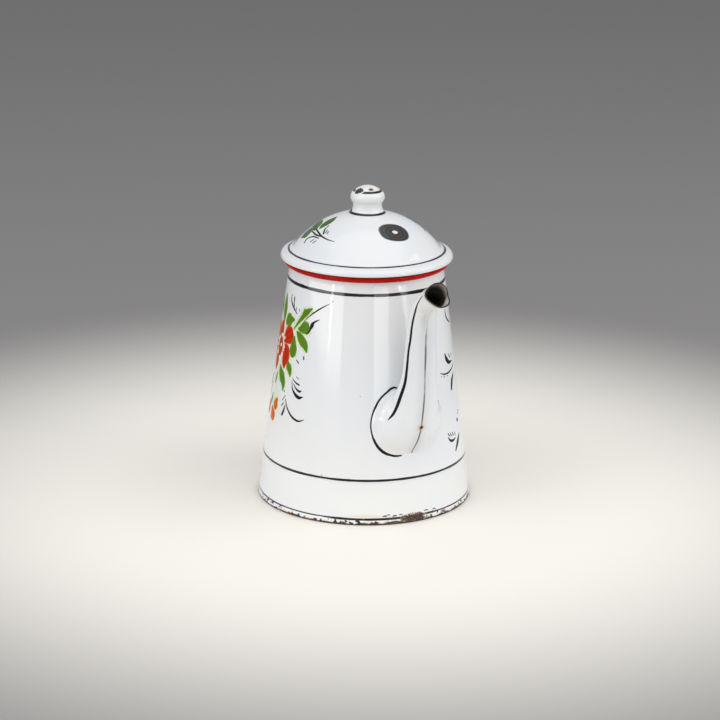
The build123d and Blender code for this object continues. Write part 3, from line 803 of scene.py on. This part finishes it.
def smooth(knots, values, at):
    """Values between knots, on a curve that passes through each."""
    slope = np.gradient(values, knots, axis=0)
    i = np.clip(np.searchsorted(knots, at, side="right") - 1, 0, len(knots) - 2)
    span = (knots[i + 1] - knots[i])[:, None]
    t = (at[:, None] - knots[i][:, None]) / span
    a, b = values[i], values[i + 1]
    p, q = slope[i] * span, slope[i + 1] * span
    return (
        a * (2 * t**3 - 3 * t**2 + 1)
        + p * (t**3 - 2 * t**2 + t)
        + b * (3 * t**2 - 2 * t**3)
        + q * (t**3 - t**2)
    )


rise = ROOT + SPOUT[:, 0] * (TIP - ROOT)
stations = np.column_stack([wall_radius(rise) + SPOUT[:, 1] * REACH, rise, SPOUT[:, 2:]])
knots = np.concatenate([[0], np.cumsum(np.hypot(*np.diff(stations[:, :2], axis=0).T))])
knots /= knots[-1]

FLARE_FROM = 0.90  # how far along the spout its mouth starts to open
SEAM_DEEP, SEAM_WIDE = 0.28, 0.55  # of the groove at each seam

# The mouth is bent out of round: radius for each 20 degrees from +Y, upwards first
MOUTH = [7.3, 8.7, 9.9, 10.4, 9.5, 8.6, 8.1, 8.4, 8.9, 9.3, 8.6, 8.3, 8.5, 9.1, 9.1, 9.0, 8.5, 7.7]
MOUTH_RING = np.array([*MOUTH[-3:], *MOUTH, *MOUTH[:3]])[:, None]
MOUTH_LOW = 0.52  # how far the mouth's middle lies below the tube's


def spout_point(t, angle, inset=0.0, hand=1):
    """Points of the spout, as far along it as t and at an angle round it from its side."""
    x, z, lean, wide, deep = smooth(knots, stations, t).T
    lean = np.radians(lean)
    side = (wide - inset) * np.cos(angle)
    # The seams sink a little, and the tube turns into the mouth's own outline at its end
    from_seam = wide * np.abs(np.cos(angle))
    seam = SEAM_DEEP * np.exp(-((from_seam / SEAM_WIDE) ** 2)) * (inset == 0)
    up = (deep - inset - seam) * np.sin(angle)
    round_to = np.degrees(angle if hand > 0 else pi - angle) % 360
    mouth = smooth(np.arange(-60.0, 420.0, 20.0), MOUTH_RING, round_to)[:, 0]
    flare = np.clip((t - FLARE_FROM) / (1 - FLARE_FROM), 0, 1) ** 1.7
    side = side + flare * ((mouth - inset) * np.cos(angle) - side)
    up = up + flare * ((mouth - inset) * np.sin(angle) - MOUTH_LOW - up)
    on = 0.1 * flare
    out = x - up * np.sin(lean) + on * np.cos(lean)
    return np.stack([out, side, z + up * np.cos(lean) + on * np.sin(lean)], -1)


def half_angles():
    """Angles round one half, from the front seam to the back one, close together at each."""
    near = [0, 0.6, 1.2, 1.8, 2.5, 3.4, 4.6, 6.2, 8.5]
    whole = [*near, *np.linspace(11.5, 168.5, 44), *(180 - np.array(near[::-1]))]
    return np.radians(np.array(whole) - 90)


FILLET, FILLET_HIGH = 3.0, 0.9  # how far up the spout the weld's fillet reaches, and its height
HOLLOW = 9.0  # how far up the spout is drawn in above it


def spout_sheet(inset, hand):
    """One surface of one half: rows of points from the wall to the lip, drawn at +Y."""
    tries = np.linspace(0, 0.45, 500)  # where along it the spout may leave the wall
    rows = []
    for angle in half_angles():
        p = spout_point(tries, np.full_like(tries, angle), inset, hand)
        clear = np.hypot(p[:, 0], p[:, 1]) - wall_radius(p[:, 2])
        inside = np.nonzero(clear < 0)[0]
        first = inside[-1] if len(inside) else 0
        gone = clear[first] / (clear[first] - clear[first + 1])
        start = tries[first] + gone * (tries[1] - tries[0])
        t = start + (1 - start) * np.linspace(0, 1, 150) ** 1.15
        p = spout_point(t, np.full_like(t, angle), inset, hand)
        if inset == 0:  # the weld's fillet, flooded with enamel
            gap = np.linalg.norm(p - p[0], axis=1)
            off = p - np.array([stations[0, 0], 0, ROOT])
            off[:, 0] = 0
            off /= np.maximum(np.linalg.norm(off, axis=1), 1e-6)[:, None]
            hollow = np.clip(1 - gap / FILLET, 0, 1) ** 2.2 - np.exp(-((gap / HOLLOW) ** 2))
            p = p + off * (FILLET_HIGH * hollow)[:, None]
            out = np.hypot(p[:, 0], p[:, 1])
            target = np.maximum(out, wall_radius(p[:, 2]) + 0.01)
            target[0] = wall_radius(p[0, 2]) - 0.05
            p[:, :2] *= (target / out)[:, None]
        rows.append(p)
    return np.array(rows)


LIP = Vector((97.25, 0, 161))
LIP_WAY = Vector((cos(radians(45)), 0, sin(radians(45))))  # out of the mouth
LIP_UP = Vector((-LIP_WAY.z, 0, LIP_WAY.x))
WORN_EDGE = (0.030, 0.020, 0.014, 1)
outside = Finish("spout_enamel")
seam = abs(outside.y) + (outside.noise(55, 3) - 0.5) * 0.7
low = outside.z.ease(144, 130)
outside.coat(seam.ease(7.5, 0.5) * 0.2 * low, (0.33, 0.335, 0.34, 1))
dirt = seam.ease(0.8, 0.35) * outside.noise(45, 3).ease(0.26, 0.46) * (low * 0.75 + 0.1)
outside.coat(dirt * outside.x.ease(60, 64), (0.045, 0.045, 0.048, 1), 0.4)
# A soft grey patch on the front of the spout, left of the seam below the mouth
grey_patch = outside.near((85, -2.2, 139.5), (1, 1.5, 0.5)) + outside.noise(130, 4) * 4
outside.coat(grey_patch.ease(7.5, 2.2) * 0.3, (0.30, 0.30, 0.32, 1))
rust_spot = outside.near((79, 0, 67.2)) + outside.noise(300, 4) * 1.5
outside.coat(rust_spot.ease(4.8, 1.8) * 0.6, (0.66, 0.40, 0.27, 1))
outside.bare(rust_spot.ease(2.3, 1.9))
worn = outside.along(LIP, LIP_WAY) + (outside.noise(160, 4) - 0.5) * 1.6
outside.coat(worn.ease(-4.2, -0.4) * 0.55, (0.36, 0.25, 0.15, 1), 0.3)
outside.coat(worn.ease(-1.3, -0.8), WORN_EDGE, 0.45)
outside.done()

# The throat is painted dark, paler towards the lip, and cream inside the lower side of the lip
throat = Finish("throat_enamel", (0.075, 0.074, 0.058, 1))
throat.coat(throat.noise(70, 5).ease(0.4, 0.68), (0.030, 0.028, 0.022, 1), 0.4)
ragged = throat.along(LIP, LIP_WAY) + (throat.noise(160, 4) - 0.5) * 1.6
throat.coat(ragged.ease(-6.2, -1.2) * 0.75, (0.46, 0.43, 0.36, 1), 0.3)
lower = throat.y.ease(0.6, 3.0) * throat.along(LIP, LIP_UP).ease(0.0, -3.0)
throat.coat(lower * ragged.ease(-6.5, -4.5), (0.76, 0.70, 0.61, 1), 0.15)
throat.coat(ragged.ease(-1.0, -0.5), WORN_EDGE, 0.45)
throat.done()


def shaded(bm, mesh, crease):
    """Writes out a mesh, smooth but for its edges sharper than a crease in degrees."""
    for face in bm.faces:
        face.smooth = True
    for edge in bm.edges:
        edge.smooth = len(edge.link_faces) == 2 and edge.calc_face_angle() < radians(crease)
    bm.to_mesh(mesh)
    bm.free()


SEAM_GAP = 0.02  # half the gap between the two halves
LIP_ROUND = 0.42  # how far the middle of the lip's edge stands out
for side, name in ((1, "spout_left_half"), (-1, "spout_right_half")):
    outer, inner = spout_sheet(0, side), spout_sheet(SHEET, side)
    ways, steps = outer.shape[:2]
    lip = (outer[:, -1] + inner[:, -1]) / 2 + np.array(LIP_WAY) * LIP_ROUND
    vertices = np.concatenate([outer.reshape(-1, 3), inner.reshape(-1, 3), lip])
    vertices[:, 1] = np.maximum(vertices[:, 1], SEAM_GAP) * side
    skip = ways * steps  # from an outer point to the inner one
    base = 2 * skip  # the lip's first point
    faces, inner_faces = [], []
    for i in range(ways - 1):
        for j in range(steps - 1):
            a, b = i * steps + j, (i + 1) * steps + j
            faces.append((a, b, b + 1, a + 1))
            inner_faces.append((a + 1 + skip, b + 1 + skip, b + skip, a + skip))
        a, b = i * steps, (i + 1) * steps
        faces.append((a + skip, b + skip, b, a))
        a, b = a + steps - 1, b + steps - 1
        faces.append((a, b, base + i + 1, base + i))
        faces.append((base + i, base + i + 1, b + skip, a + skip))
    for i in (0, ways - 1):
        rim = [(a, a + 1, a + 1 + skip, a + skip) for a in range(i * steps, (i + 1) * steps - 1)]
        rim.append(((i + 1) * steps - 1, base + i, (i + 1) * steps - 1 + skip))
        faces += [ring if i == 0 else ring[::-1] for ring in rim]
    mesh = bpy.data.meshes.new(name + "_sheet")
    mesh.from_pydata((vertices * MM).tolist(), [], faces + inner_faces)
    mesh.materials.append(outside.material)
    finish_faces(mesh, throat.material, lambda face: face.index >= len(faces))
    bm = bmesh.new()
    bm.from_mesh(mesh)
    bmesh.ops.recalc_face_normals(bm, faces=bm.faces)
    if bm.calc_volume(signed=True) < 0:
        bmesh.ops.reverse_faces(bm, faces=bm.faces)
    shaded(bm, mesh, 50)
    piece = new_object(name + "_sheet", mesh)
    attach(piece, "pot")
    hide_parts(name)

# ---- Handle ---------------------------------------------------------------------------
# A channel of strap with its edges turned in, bent to the hand and welded to the wall
# opposite the spout. White enamel, thin on the turned edges.


def carried(node, material):
    """A CAD node's own shape as a smooth, joined mesh that stands for it."""
    bm = bmesh.new()
    bm.from_mesh(nodes[node].data)
    bmesh.ops.remove_doubles(bm, verts=bm.verts, dist=2e-6)
    bmesh.ops.dissolve_limit(bm, angle_limit=radians(0.4), verts=bm.verts, edges=bm.edges)
    bmesh.ops.triangulate(bm, faces=[f for f in bm.faces if len(f.verts) > 4])
    mesh = bpy.data.meshes.new(node + "_piece")
    shaded(bm, mesh, 28)
    if "custom_normal" in mesh.attributes:
        mesh.attributes.remove(mesh.attributes["custom_normal"])
    mesh.materials.clear()
    mesh.materials.append(material)
    return new_object(node + "_piece", mesh)


strap = Finish("handle_enamel")
strap.flake(abs(abs(strap.y) - 4.5), 1.6, -0.12)
strap.flake(97.5 - abs(strap.x), 6.0, -0.2)
handle = carried("handle_strap", strap.done())
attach(handle, "pot")
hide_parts("handle_strap")

# ---- Hinge ----------------------------------------------------------------------------
# One leaf riveted to the dome and one to the top of the handle, rolled round a headed pin.
# All are tinned steel, gone dull and rusty at the edges.
for node, body_name in (
    ("hinge_pot_leaf", "pot"),
    ("hinge_lid_leaf", "lid"),
    ("hinge_pin", "pot"),
    ("lid_leaf_rivets", "lid"),
    ("pot_leaf_rivets", "pot"),
):
    piece = carried(node, tinned)
    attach(piece, body_name)
    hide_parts(node)

# ---- Painted sprays -------------------------------------------------------------------
# Flower sprays, painted by hand in single strokes of a loaded brush and fired: a petal or
# a leaf is one stroke. The paint stands a little proud, thickest along its middle.
brushing, given = new_tree(
    "brush_stroke",
    "Geometry",
    {**SHAPE, "Surface": "Object", "Lift": "Float", "Steps": "Int", "Material": "Material"},
    SHAPE,
)
lift = given["Lift"]
surface = {"Object": given["Surface"]}
ground = value(
    brushing, "GeometryNodeObjectInfo", surface, "Geometry", transform_space="ORIGINAL"
)
normal = value(brushing, "GeometryNodeInputNormal")
position = value(brushing, "GeometryNodeInputPosition")


def named(tree, shape, label, stored):
    """A shape with a number stored under a name at each of its points."""
    inputs = {"Geometry": shape, "Name": label, "Value": stored}
    return value(tree, "GeometryNodeStoreNamedAttribute", inputs)


def way_out():
    """The normal of the surface where it is nearest."""
    nearest = {"Mesh": ground, "Value": normal}
    kind = "GeometryNodeSampleNearestSurface"
    return value(brushing, kind, nearest, data_type="FLOAT_VECTOR")


path = {"Curve": given["Geometry"], "Count": given["Steps"]}
path = value(brushing, "GeometryNodeResampleCurve", path)
path = {"Curve": path, "Normal": way_out()}
path = value(brushing, "GeometryNodeSetCurveNormal", path, mode="FREE")
gone = value(brushing, "GeometryNodeSplineParameter", out="Factor")
path = named(brushing, path, "along", gone)
# The brush's outline: flat, with its thickness kept as a number
ring = value(brushing, "GeometryNodeCurvePrimitiveCircle", {"Resolution": 14, "Radius": 1.0})
thick, across, _ = position.split()
ring = named(brushing, named(brushing, ring, "thick", thick), "across", across)
flat = value(brushing, "ShaderNodeCombineXYZ", {"X": thick * 0.02, "Y": across})
ring = value(brushing, "GeometryNodeSetPosition", {"Geometry": ring, "Position": flat})
stroke = {"Curve": path, "Profile Curve": ring, "Fill Caps": True}
stroke = add_node(brushing, "GeometryNodeCurveToMesh", stroke)
if "Scale" in stroke.inputs:
    width = value(brushing, "GeometryNodeInputRadius")
    brushing.links.new(width.socket, stroke.inputs["Scale"])
# Laid on the surface: its upper side stands proud, and its underside is sunk out of sight
near = value(brushing, "GeometryNodeProximity", {0: ground}, target_element="FACES")
thick = value(
    brushing, "GeometryNodeInputNamedAttribute", {"Name": "thick"}, data_type="FLOAT"
)
raised = lift * (thick.do("MAXIMUM", 0.0) + 0.45 - thick.do("LESS_THAN", -0.01) * 0.95)
push = {0: way_out(), 3: raised}
push = value(brushing, "ShaderNodeVectorMath", push, operation="SCALE")
laid = {"Geometry": Value(brushing, stroke.outputs[0]), "Position": near.vector("ADD", push)}
shape = {0: value(brushing, "GeometryNodeSetPosition", laid), "Shade Smooth": True}
end_tree(brushing, value(brushing, "GeometryNodeSetShadeSmooth", shape), given["Material"])


def on_wall(turn, height):
    """Degrees round the pot and mm up, as a place just off the wall."""
    out = wall_radius(height) + 0.6
    return out * cos(radians(turn)), out * sin(radians(turn)), height


def on_dome(x, y):
    """mm from the axis, as a place just off the dome."""
    return x, y, BALL_HEIGHT + sqrt(max((BALL + 0.4) ** 2 - x * x - y * y, 0))


def in_space(x, y, z):
    """A place given as it is."""
    return x, y, z


THINNEST = 0.03  # half width of a brush's lightest touch


def painted(name, strokes, place, surface, body_name, lift, material, slot_name, steps=26):
    """One piece of paint: each stroke is points of a place and the brush's half width."""
    curve = bpy.data.curves.new(name, "CURVE")
    curve.dimensions = "3D"
    for stroke in strokes:
        points = np.array([(*place(*where), width) for *where, width in stroke], float)
        gaps = np.linalg.norm(np.diff(points[:, :3], axis=0), axis=1)
        at = np.concatenate([[0], np.cumsum(gaps)])
        fine = smooth(at, points, np.linspace(0, at[-1], 40)) if len(points) > 2 else points
        spline = curve.splines.new("POLY")
        spline.points.add(len(fine) - 1)
        for point, (x, y, z, width) in zip(spline.points, fine):
            point.co = (x * MM, y * MM, z * MM, 1)
            point.radius = max(width, THINNEST) * MM
    values = {"Surface": surface, "Lift": lift * MM, "Steps": steps, "Material": material}
    made = grown(name, curve, brushing, values)
    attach(made, body_name)


def stored(made, label):
    """A number that the brush stroke kept under a name."""
    return value(made.tree, "ShaderNodeAttribute", out="Fac", attribute_name=label)


def paint(name, colour, second, thin, thin_share):
    """Enamel paint: streaked along the brush's way, and thin towards its edges."""
    made = Finish(name, colour)
    across = stored(made, "across")
    bristle = {"X": across * 5.0, "Y": stored(made, "along"), "Z": made.z * 0.02}
    streak = noise(value(made.tree, "ShaderNodeCombineXYZ", bristle), 1.4, 3)
    made.coat(streak.ease(0.42, 0.66), second)
    made.coat(abs(across).ease(0.55, 1.0) * thin_share, thin)
    made.height = made.height + streak * 0.03
    made.set("Specular IOR Level", 0.07)
    return made.done()


GREEN = ((0.078, 0.19, 0.008, 1), (0.125, 0.25, 0.018, 1), (0.26, 0.38, 0.10, 1))
DARK_GREEN = ((0.045, 0.10, 0.03, 1), (0.10, 0.19, 0.055, 1), (0.18, 0.27, 0.12, 1))
PETAL_RED = ((0.46, 0.014, 0.001, 1), (0.50, 0.034, 0.002, 1), (0.62, 0.14, 0.012, 1))
ORANGE = ((0.50, 0.10, 0.003, 1), (0.56, 0.15, 0.005, 1), (0.68, 0.29, 0.04, 1))
LINE_BLACK = (BLACK, (0.022, 0.022, 0.024, 1), (0.05, 0.05, 0.055, 1))
DOT_WHITE = ((0.82, 0.78, 0.70, 1), (0.84, 0.81, 0.76, 1), (0.78, 0.62, 0.48, 1))
leaf_green = paint("leaf_paint", *GREEN, 0.35)
dark_green = paint("lid_leaf_paint", *DARK_GREEN, 0.35)
petal_red = paint("petal_paint", *PETAL_RED, 0.4)
petal_orange = paint("small_petal_paint", *ORANGE, 0.4)
stroke_black = paint("line_paint", *LINE_BLACK, 0.3)
dot_white = paint("dot_paint", *DOT_WHITE, 0.3)


def breath(name, tint):
    """The pale stain that a stroke left round itself in the white."""
    made = Finish(name)
    made.coat(abs(stored(made, "across")).ease(1.0, 0.62) * 0.9, tint)
    return made.done()


green_breath = breath("green_breath", (0.60, 0.77, 0.38, 1))
buff_breath = breath("buff_breath", (0.84, 0.48, 0.16, 1))

# Strokes of the spray on the right flank: degrees round, mm up, half width in mm
leaves = [
    [(-103.9, 141.5, 0.41), (-103.4, 137, 2.56), (-103, 132.5, 3.92), (-102.6, 127.7, 3.24),
     (-102, 122.8, 1.08)],
    [(-97.6, 123, 1.34), (-94.6, 124.9, 4.03), (-91.6, 127.2, 4.59), (-89.6, 129.4, 2.24)],
    [(-92.6, 126.2, 2.69), (-88.6, 127.2, 2.13), (-85, 127.9, 0.56)],
    [(-85.3, 121.3, 0.4), (-80.6, 127, 1.1), (-76.1, 132.2, 1.9), (-73.6, 135.4, 2.6)],
    [(-75.2, 133.4, 2.13), (-75, 135.4, 1.68), (-75.5, 137.4, 0.56)],
    [(-74.8, 133.9, 2.46), (-71.8, 136.4, 1.9), (-67.9, 138.9, 0.34)],
    [(-80.3, 123, 0.45), (-77.4, 123.5, 2.35), (-74.4, 124.4, 3.7), (-71.4, 125.6, 4.37),
     (-69.3, 126.6, 2.91)],
    [(-81.6, 121.2, 0.34), (-78.8, 119.4, 2.35), (-75.6, 116.7, 3.47), (-72, 113.8, 3.02),
     (-69.5, 109.2, 0.34)],
    [(-83.1, 117.6, 0.45), (-83.3, 113.2, 2.69), (-83.1, 108.6, 4.14), (-83.9, 104.8, 3.02),
     (-84.6, 103.2, 1.01)],
    [(-87.2, 99.7, 0.45), (-86.5, 97, 3.02), (-84.4, 94.4, 2.8), (-82.9, 89.8, 0.34)],
    [(-98, 94.4, 0.45), (-96.2, 91, 2.8), (-93.2, 87.6, 4.26), (-90.3, 83.9, 2.91),
     (-89.4, 78.6, 0.34)],
    [(-101.2, 88.4, 0.45), (-102.4, 83.4, 1.46), (-103.3, 79.6, 0.34)],
    [(-105.3, 72.8, 0.45), (-106, 68.8, 1.68), (-106.8, 64.2, 0.34)],
    [(-109.5, 126.5, 0.67), (-112.5, 131, 2.91), (-116, 135, 3.25), (-120, 138.6, 0.45)],
    [(-121.5, 117.5, 0.67), (-126.5, 120, 2.91), (-131.5, 121.4, 3.25), (-137, 121.6, 0.45)],
    [(-123, 105.5, 0.67), (-128, 103, 3.36), (-132.6, 99.2, 3.58), (-136.5, 94.4, 0.45)],
    [(-119.5, 93.6, 0.56), (-121.6, 88.4, 3.02), (-122.4, 83.2, 3.25), (-121, 77.6, 0.45)],
    [(-113, 75, 0.45), (-116.4, 71.4, 2.13), (-119, 67, 0.45)],
]
petals = [
    [(-97.2, 111, 1.8), (-92.8, 114.6, 5.4), (-88.4, 117.8, 6.4), (-85.4, 119.6, 2.6)],
    [(-95.6, 108, 1.8), (-91.4, 105.6, 4.6), (-91.7, 100.6, 5.2), (-92.4, 96.8, 3.4),
     (-91.6, 93.4, 0.6)],
    [(-103.6, 111, 1.28), (-104.6, 115.4, 4.1), (-103.6, 119.8, 3.84), (-101.8, 123.6, 0.64)],
    [(-108.4, 110.6, 1.54), (-112.6, 114, 5.12), (-116.4, 117.6, 5.63), (-119, 120.4, 2.3)],
    [(-109.6, 105.4, 1.54), (-114.4, 102.8, 5.12), (-118.6, 99.4, 5.38), (-121.4, 96, 1.28)],
    [(-104.8, 101.4, 1.28), (-106.6, 96.8, 4.22), (-107.4, 92.4, 4.22), (-106.6, 88.6, 0.77)],
]
flower_ground = [
    [(-103, 112.6, 2.2), (-103.2, 109.4, 4.6), (-103.2, 106, 5.4), (-103, 102.6, 4.6),
     (-103, 99.4, 2.2)],
]
small_petals = [
    [(-95.1, 71.9, 0.56), (-96.6, 69, 2.8), (-97.2, 66.2, 3.92), (-96.8, 63.4, 0.98)],
    [(-103, 64.4, 0.56), (-101.2, 61, 3.36), (-99.6, 58.4, 4.34), (-98.2, 55.6, 1.12)],
    [(-108.6, 66.8, 0.56), (-110.6, 63.2, 3.36), (-111.2, 59.8, 3.78), (-110.4, 56.6, 0.98)],
]
dots = [
    [(turn, height + 1.1, 0.7), (turn, height, 1.35), (turn, height - 1.1, 0.7)]
    for turn, height in (
        (-96.4, 113), (-101.8, 106.8), (-95.6, 107.1), (-97.9, 101.4), (-101.6, 98.2),
        (-102.6, 113.4), (-107.6, 110.2), (-109.8, 105.2), (-107.4, 100.2),
    )
]
spray_strokes = [
    [(-93.3, 143.3, 0.3), (-93.3, 139.4, 0.6), (-89.2, 135.7, 0.72), (-83.2, 132.2, 0.36)],
    [(-88.9, 142.6, 0.54), (-89, 138.8, 0.6), (-87.8, 135.6, 0.3)],
    [(-85.1, 136.4, 0.24), (-84.7, 134.2, 0.36)],
    [(-81.3, 136.2, 0.24), (-80.9, 134.4, 0.26)],
    [(-77.6, 125.9, 0.14), (-71.7, 132.1, 0.32), (-64.1, 138, 0.5), (-58, 141.8, 0.34),
     (-54.6, 143.7, 0.16)],
    [(-52.5, 145.3, 0.3), (-51.6, 145.9, 0.24)],
    [(-65.9, 130.2, 0.6), (-67.2, 127.9, 1.5), (-68.2, 125.6, 0.9), (-69.3, 123.6, 0.6),
     (-71.6, 121, 0.3)],
    [(-67.2, 129, 0.84), (-64.1, 131.1, 0.54), (-61.2, 132.6, 0.14)],
    [(-78.5, 102.6, 0.36), (-75.5, 100.8, 0.46)],
    [(-71.8, 106.6, 0.5), (-71.5, 104.2, 0.6)],
    [(-76.7, 91.8, 0.24), (-74.2, 90.7, 0.3)],
    [(-80.3, 90, 0.18), (-76.9, 87.9, 0.5), (-72.9, 86.8, 0.6)],
    [(-78.6, 86.6, 0.24), (-74.9, 83.5, 0.66), (-71.9, 82.9, 0.74), (-70.8, 83.8, 0.24)],
    [(-80.3, 88.4, 0.18), (-79.2, 83.4, 0.52), (-76.1, 80.1, 1.1), (-72.5, 78.7, 1.25),
     (-69, 79.8, 0.18)],
    [(-87.9, 79.6, 0.42), (-87.3, 78.5, 0.48)],
    [(-85.5, 76.8, 0.24), (-88.4, 72.8, 0.34)],
    [(-86.4, 71.8, 0.3), (-88.7, 68.9, 0.5)],
    [(-84.5, 70.8, 0.24), (-85.6, 66.6, 0.9), (-87.3, 62.8, 0.96)],
    [(-85, 74.5, 0.3), (-83.5, 71.3, 0.5), (-79.7, 66.8, 0.7), (-74.5, 63.8, 0.78),
     (-70.6, 63.3, 0.6), (-66.7, 65.2, 0.18)],
]
far_strokes = [
    [(-124, 128.6, 0.2), (-130, 131.4, 0.55), (-136, 131.6, 0.25)],
    [(-127.5, 111.4, 0.2), (-134, 110.8, 0.6), (-140.4, 107.4, 0.2)],
    [(-127, 88.6, 0.2), (-131, 84, 0.9), (-135.2, 82.4, 0.2)],
    [(-116, 83, 0.2), (-117, 78, 0.7), (-116, 74.4, 0.3)],
]
front_strokes = [
    [(35.3, 105, 0.42), (37.4, 100.6, 1.7), (39.8, 98.2, 1.44), (46.5, 97.3, 0.26)],
    [(41, 103.4, 0.36), (43.2, 100.6, 0.54)],
    [(46.4, 102.4, 0.36), (46.8, 100.6, 0.45)],
    [(49.2, 94.1, 0.27), (42.5, 92, 0.57), (35.4, 91.4, 0.57), (31.1, 92.1, 0.47),
     (27.5, 93.7, 0.2)],
    [(28.6, 91.3, 0.4), (28.9, 90.9, 0.48)],
    [(31.6, 90.4, 0.32), (32.4, 89.8, 0.4)],
    [(35.9, 89.9, 0.32), (36.6, 89.5, 0.35)],
    [(46.8, 88.7, 0.4), (42.6, 84.8, 1.7), (40.1, 78.8, 1.1)],
    [(44.2, 58.2, 0.9), (44.8, 56.2, 1.75)],
    [(46.6, 61.2, 0.4), (47, 60.5, 0.6)],
    [(48.2, 62.6, 0.4), (48.6, 61.8, 0.5)],
    [(29.6, 49.6, 0.32), (32.1, 46.7, 0.9), (35.4, 45.9, 0.8), (38.8, 46.6, 0.24)],
    [(29.9, 52.4, 0.3), (31.2, 50, 0.55)],
    [(32.4, 52, 0.3), (33.5, 49.4, 0.6)],
    [(34.9, 51.6, 0.3), (35.9, 49, 0.6)],
    [(38, 50.8, 0.3), (38.7, 48.4, 0.45)],
    [(45.7, 47.6, 0.4), (41.8, 43.3, 1.6), (37.1, 38, 0.65)],
    [(44, 132.9, 0.45), (43.6, 129.7, 0.63), (45.5, 126.4, 0.76), (52.8, 121.8, 0.36)],
]
spout_outline = [
    [(-7.2, 90, 0.37), (-9.8, 90.9, 0.76), (-14.6, 87.7, 0.67), (-18.8, 83.6, 0.67),
     (-21.9, 77.4, 0.73), (-23.7, 71, 0.73), (-24.1, 64.7, 0.67), (-23.1, 59.4, 0.73),
     (-21.7, 55, 0.85), (-19.5, 51.3, 0.98), (-16.5, 48.2, 1.04), (-12.9, 46.4, 0.73),
     (-9.5, 45.4, 0.73), (-6.2, 45.6, 0.43)],
]
far_outline = [[(24.6, 67.4, 0.3), (23.2, 74.6, 0.55), (21.4, 79.6, 0.3)]]


def flipped(strokes):
    """Strokes as they are on the other flank."""
    return [[(-turn, *rest) for turn, *rest in stroke] for stroke in strokes]


def halo(strokes, more):
    """Strokes with a wider brush."""
    return [[(*where, width + more) for *where, width in stroke] for stroke in strokes]


black = {
    "right": far_strokes + spray_strokes + spout_outline,
    "left": flipped(far_strokes + spray_strokes[:4] + spray_strokes[14:])
    + front_strokes
    + far_outline,
}
WALL_PAINTS = (
    # name, strokes, lift in mm, material, slot, steps along each stroke
    ("leaf_breath", halo(leaves, 1.8), 0.03, green_breath, "white_enamel", 16),
    ("petal_breath", halo(petals + small_petals, 1.7), 0.05, buff_breath, "white_enamel", 16),
    ("leaves", leaves, 0.08, leaf_green, "green_enamel", 26),
    ("flower_ground", flower_ground, 0.07, petal_red, "red_enamel", 16),
    ("petals", petals[:3] + petals[5:], 0.11, petal_red, "red_enamel", 26),
    ("small_petals", small_petals + petals[3:5], 0.14, petal_orange, "red_enamel", 26),
    ("dots", dots, 0.2, dot_white, "white_enamel", 10),
)
for flank, turn in (("right", list), ("left", flipped)):
    for what, strokes, *rest in WALL_PAINTS:
        painted(f"{flank}_{what}", turn(strokes), on_wall, body, "pot", *rest)
    paints = (0.1, stroke_black, "black_enamel")
    painted(f"{flank}_strokes", black[flank], on_wall, body, "pot", *paints)

# The long stroke down each side of the spout. The far one sits further back.
spout_stroke = [
    (91.6, -8.2, 160.2, 0.25), (88.2, -8.3, 157.3, 0.45), (85.3, -8.6, 153.3, 0.55),
    (82.6, -8.6, 147.9, 0.65), (80.5, -8.9, 141.3, 0.7), (79.6, -9.3, 135.2, 0.75),
    (79.1, -9.8, 127.9, 0.8), (78.4, -10.5, 121.3, 0.8), (78, -11.1, 111.1, 0.9),
    (77, -12.3, 97.6, 1.1), (75.1, -13.9, 89.7, 1.25), (73, -15.5, 81.9, 1.2),
    (70.4, -17.6, 75.5, 0.9), (68.9, -19.6, 72.2, 0.2),
]
far_stroke = [(x - 5.5, -y, z, w) for x, y, z, w in spout_stroke[:10]]
far_stroke.append((69.6, 13.9, 89.7, 0.2))
for flank, stroke in (("right", spout_stroke), ("left", far_stroke)):
    half = bpy.data.objects[f"spout_{flank}_half_sheet"]
    paints = (0.1, stroke_black, "black_enamel", 60)
    painted(f"spout_{flank}_stroke", [stroke], in_space, half, "pot", *paints)

# The small sprays on the lid: mm from the axis, half width in mm
lid_leaves = [
    [(-4, -33.8, 0.6), (-4.4, -29.7, 3.5), (-4.6, -25.2, 3.6), (-5.6, -19.9, 0.6)],
    [(-6.6, -35.2, 0.8), (-11.1, -32.4, 4.1), (-15.6, -29, 4.3), (-20, -24, 0.9)],
    [(-10.6, -35, 1.4), (-13, -36.6, 5.6), (-15, -38.2, 5.6), (-17.2, -40.4, 1)],
]
lid_strokes = [
    [(-8.2, -34, 0.5), (0.3, -36.2, 0.62), (5.9, -36.9, 0.56), (12.1, -36.3, 0.44),
     (18.9, -33.9, 0.15)],
    [(-9, -36.4, 0.5), (0.8, -37.8, 0.62), (5.6, -37.2, 0.44)],
    [(0.9, -29, 0.31), (1.8, -32.3, 0.62), (5.4, -35.5, 0.69)],
    [(4.4, -31.8, 0.29), (6, -34.2, 0.45)],
    [(6.8, -32.2, 0.29), (8.2, -34.2, 0.4)],
    [(-5.4, -44.3, 0.5), (-6.4, -42, 0.62), (-3.6, -40, 0.62), (5.4, -38.7, 0.38)],
    [(1.8, -40.4, 0.29), (0.4, -42.6, 0.48)],
    [(5, -40.3, 0.29), (3.7, -42.6, 0.45)],
]
LID_PAINTS = (
    ("breath", halo(lid_leaves, 1.2), 0.03, green_breath, "white_enamel", 16),
    ("leaves", lid_leaves, 0.08, dark_green, "green_enamel", 26),
    ("strokes", lid_strokes, 0.1, stroke_black, "black_enamel", 26),
)
for flank, side in (("right", 1), ("left", -1)):
    for what, strokes, *rest in LID_PAINTS:
        strokes = [[(x, y * side, width) for x, y, width in stroke] for stroke in strokes]
        painted(f"lid_{flank}_{what}", strokes, on_dome, lid, "lid", *rest)
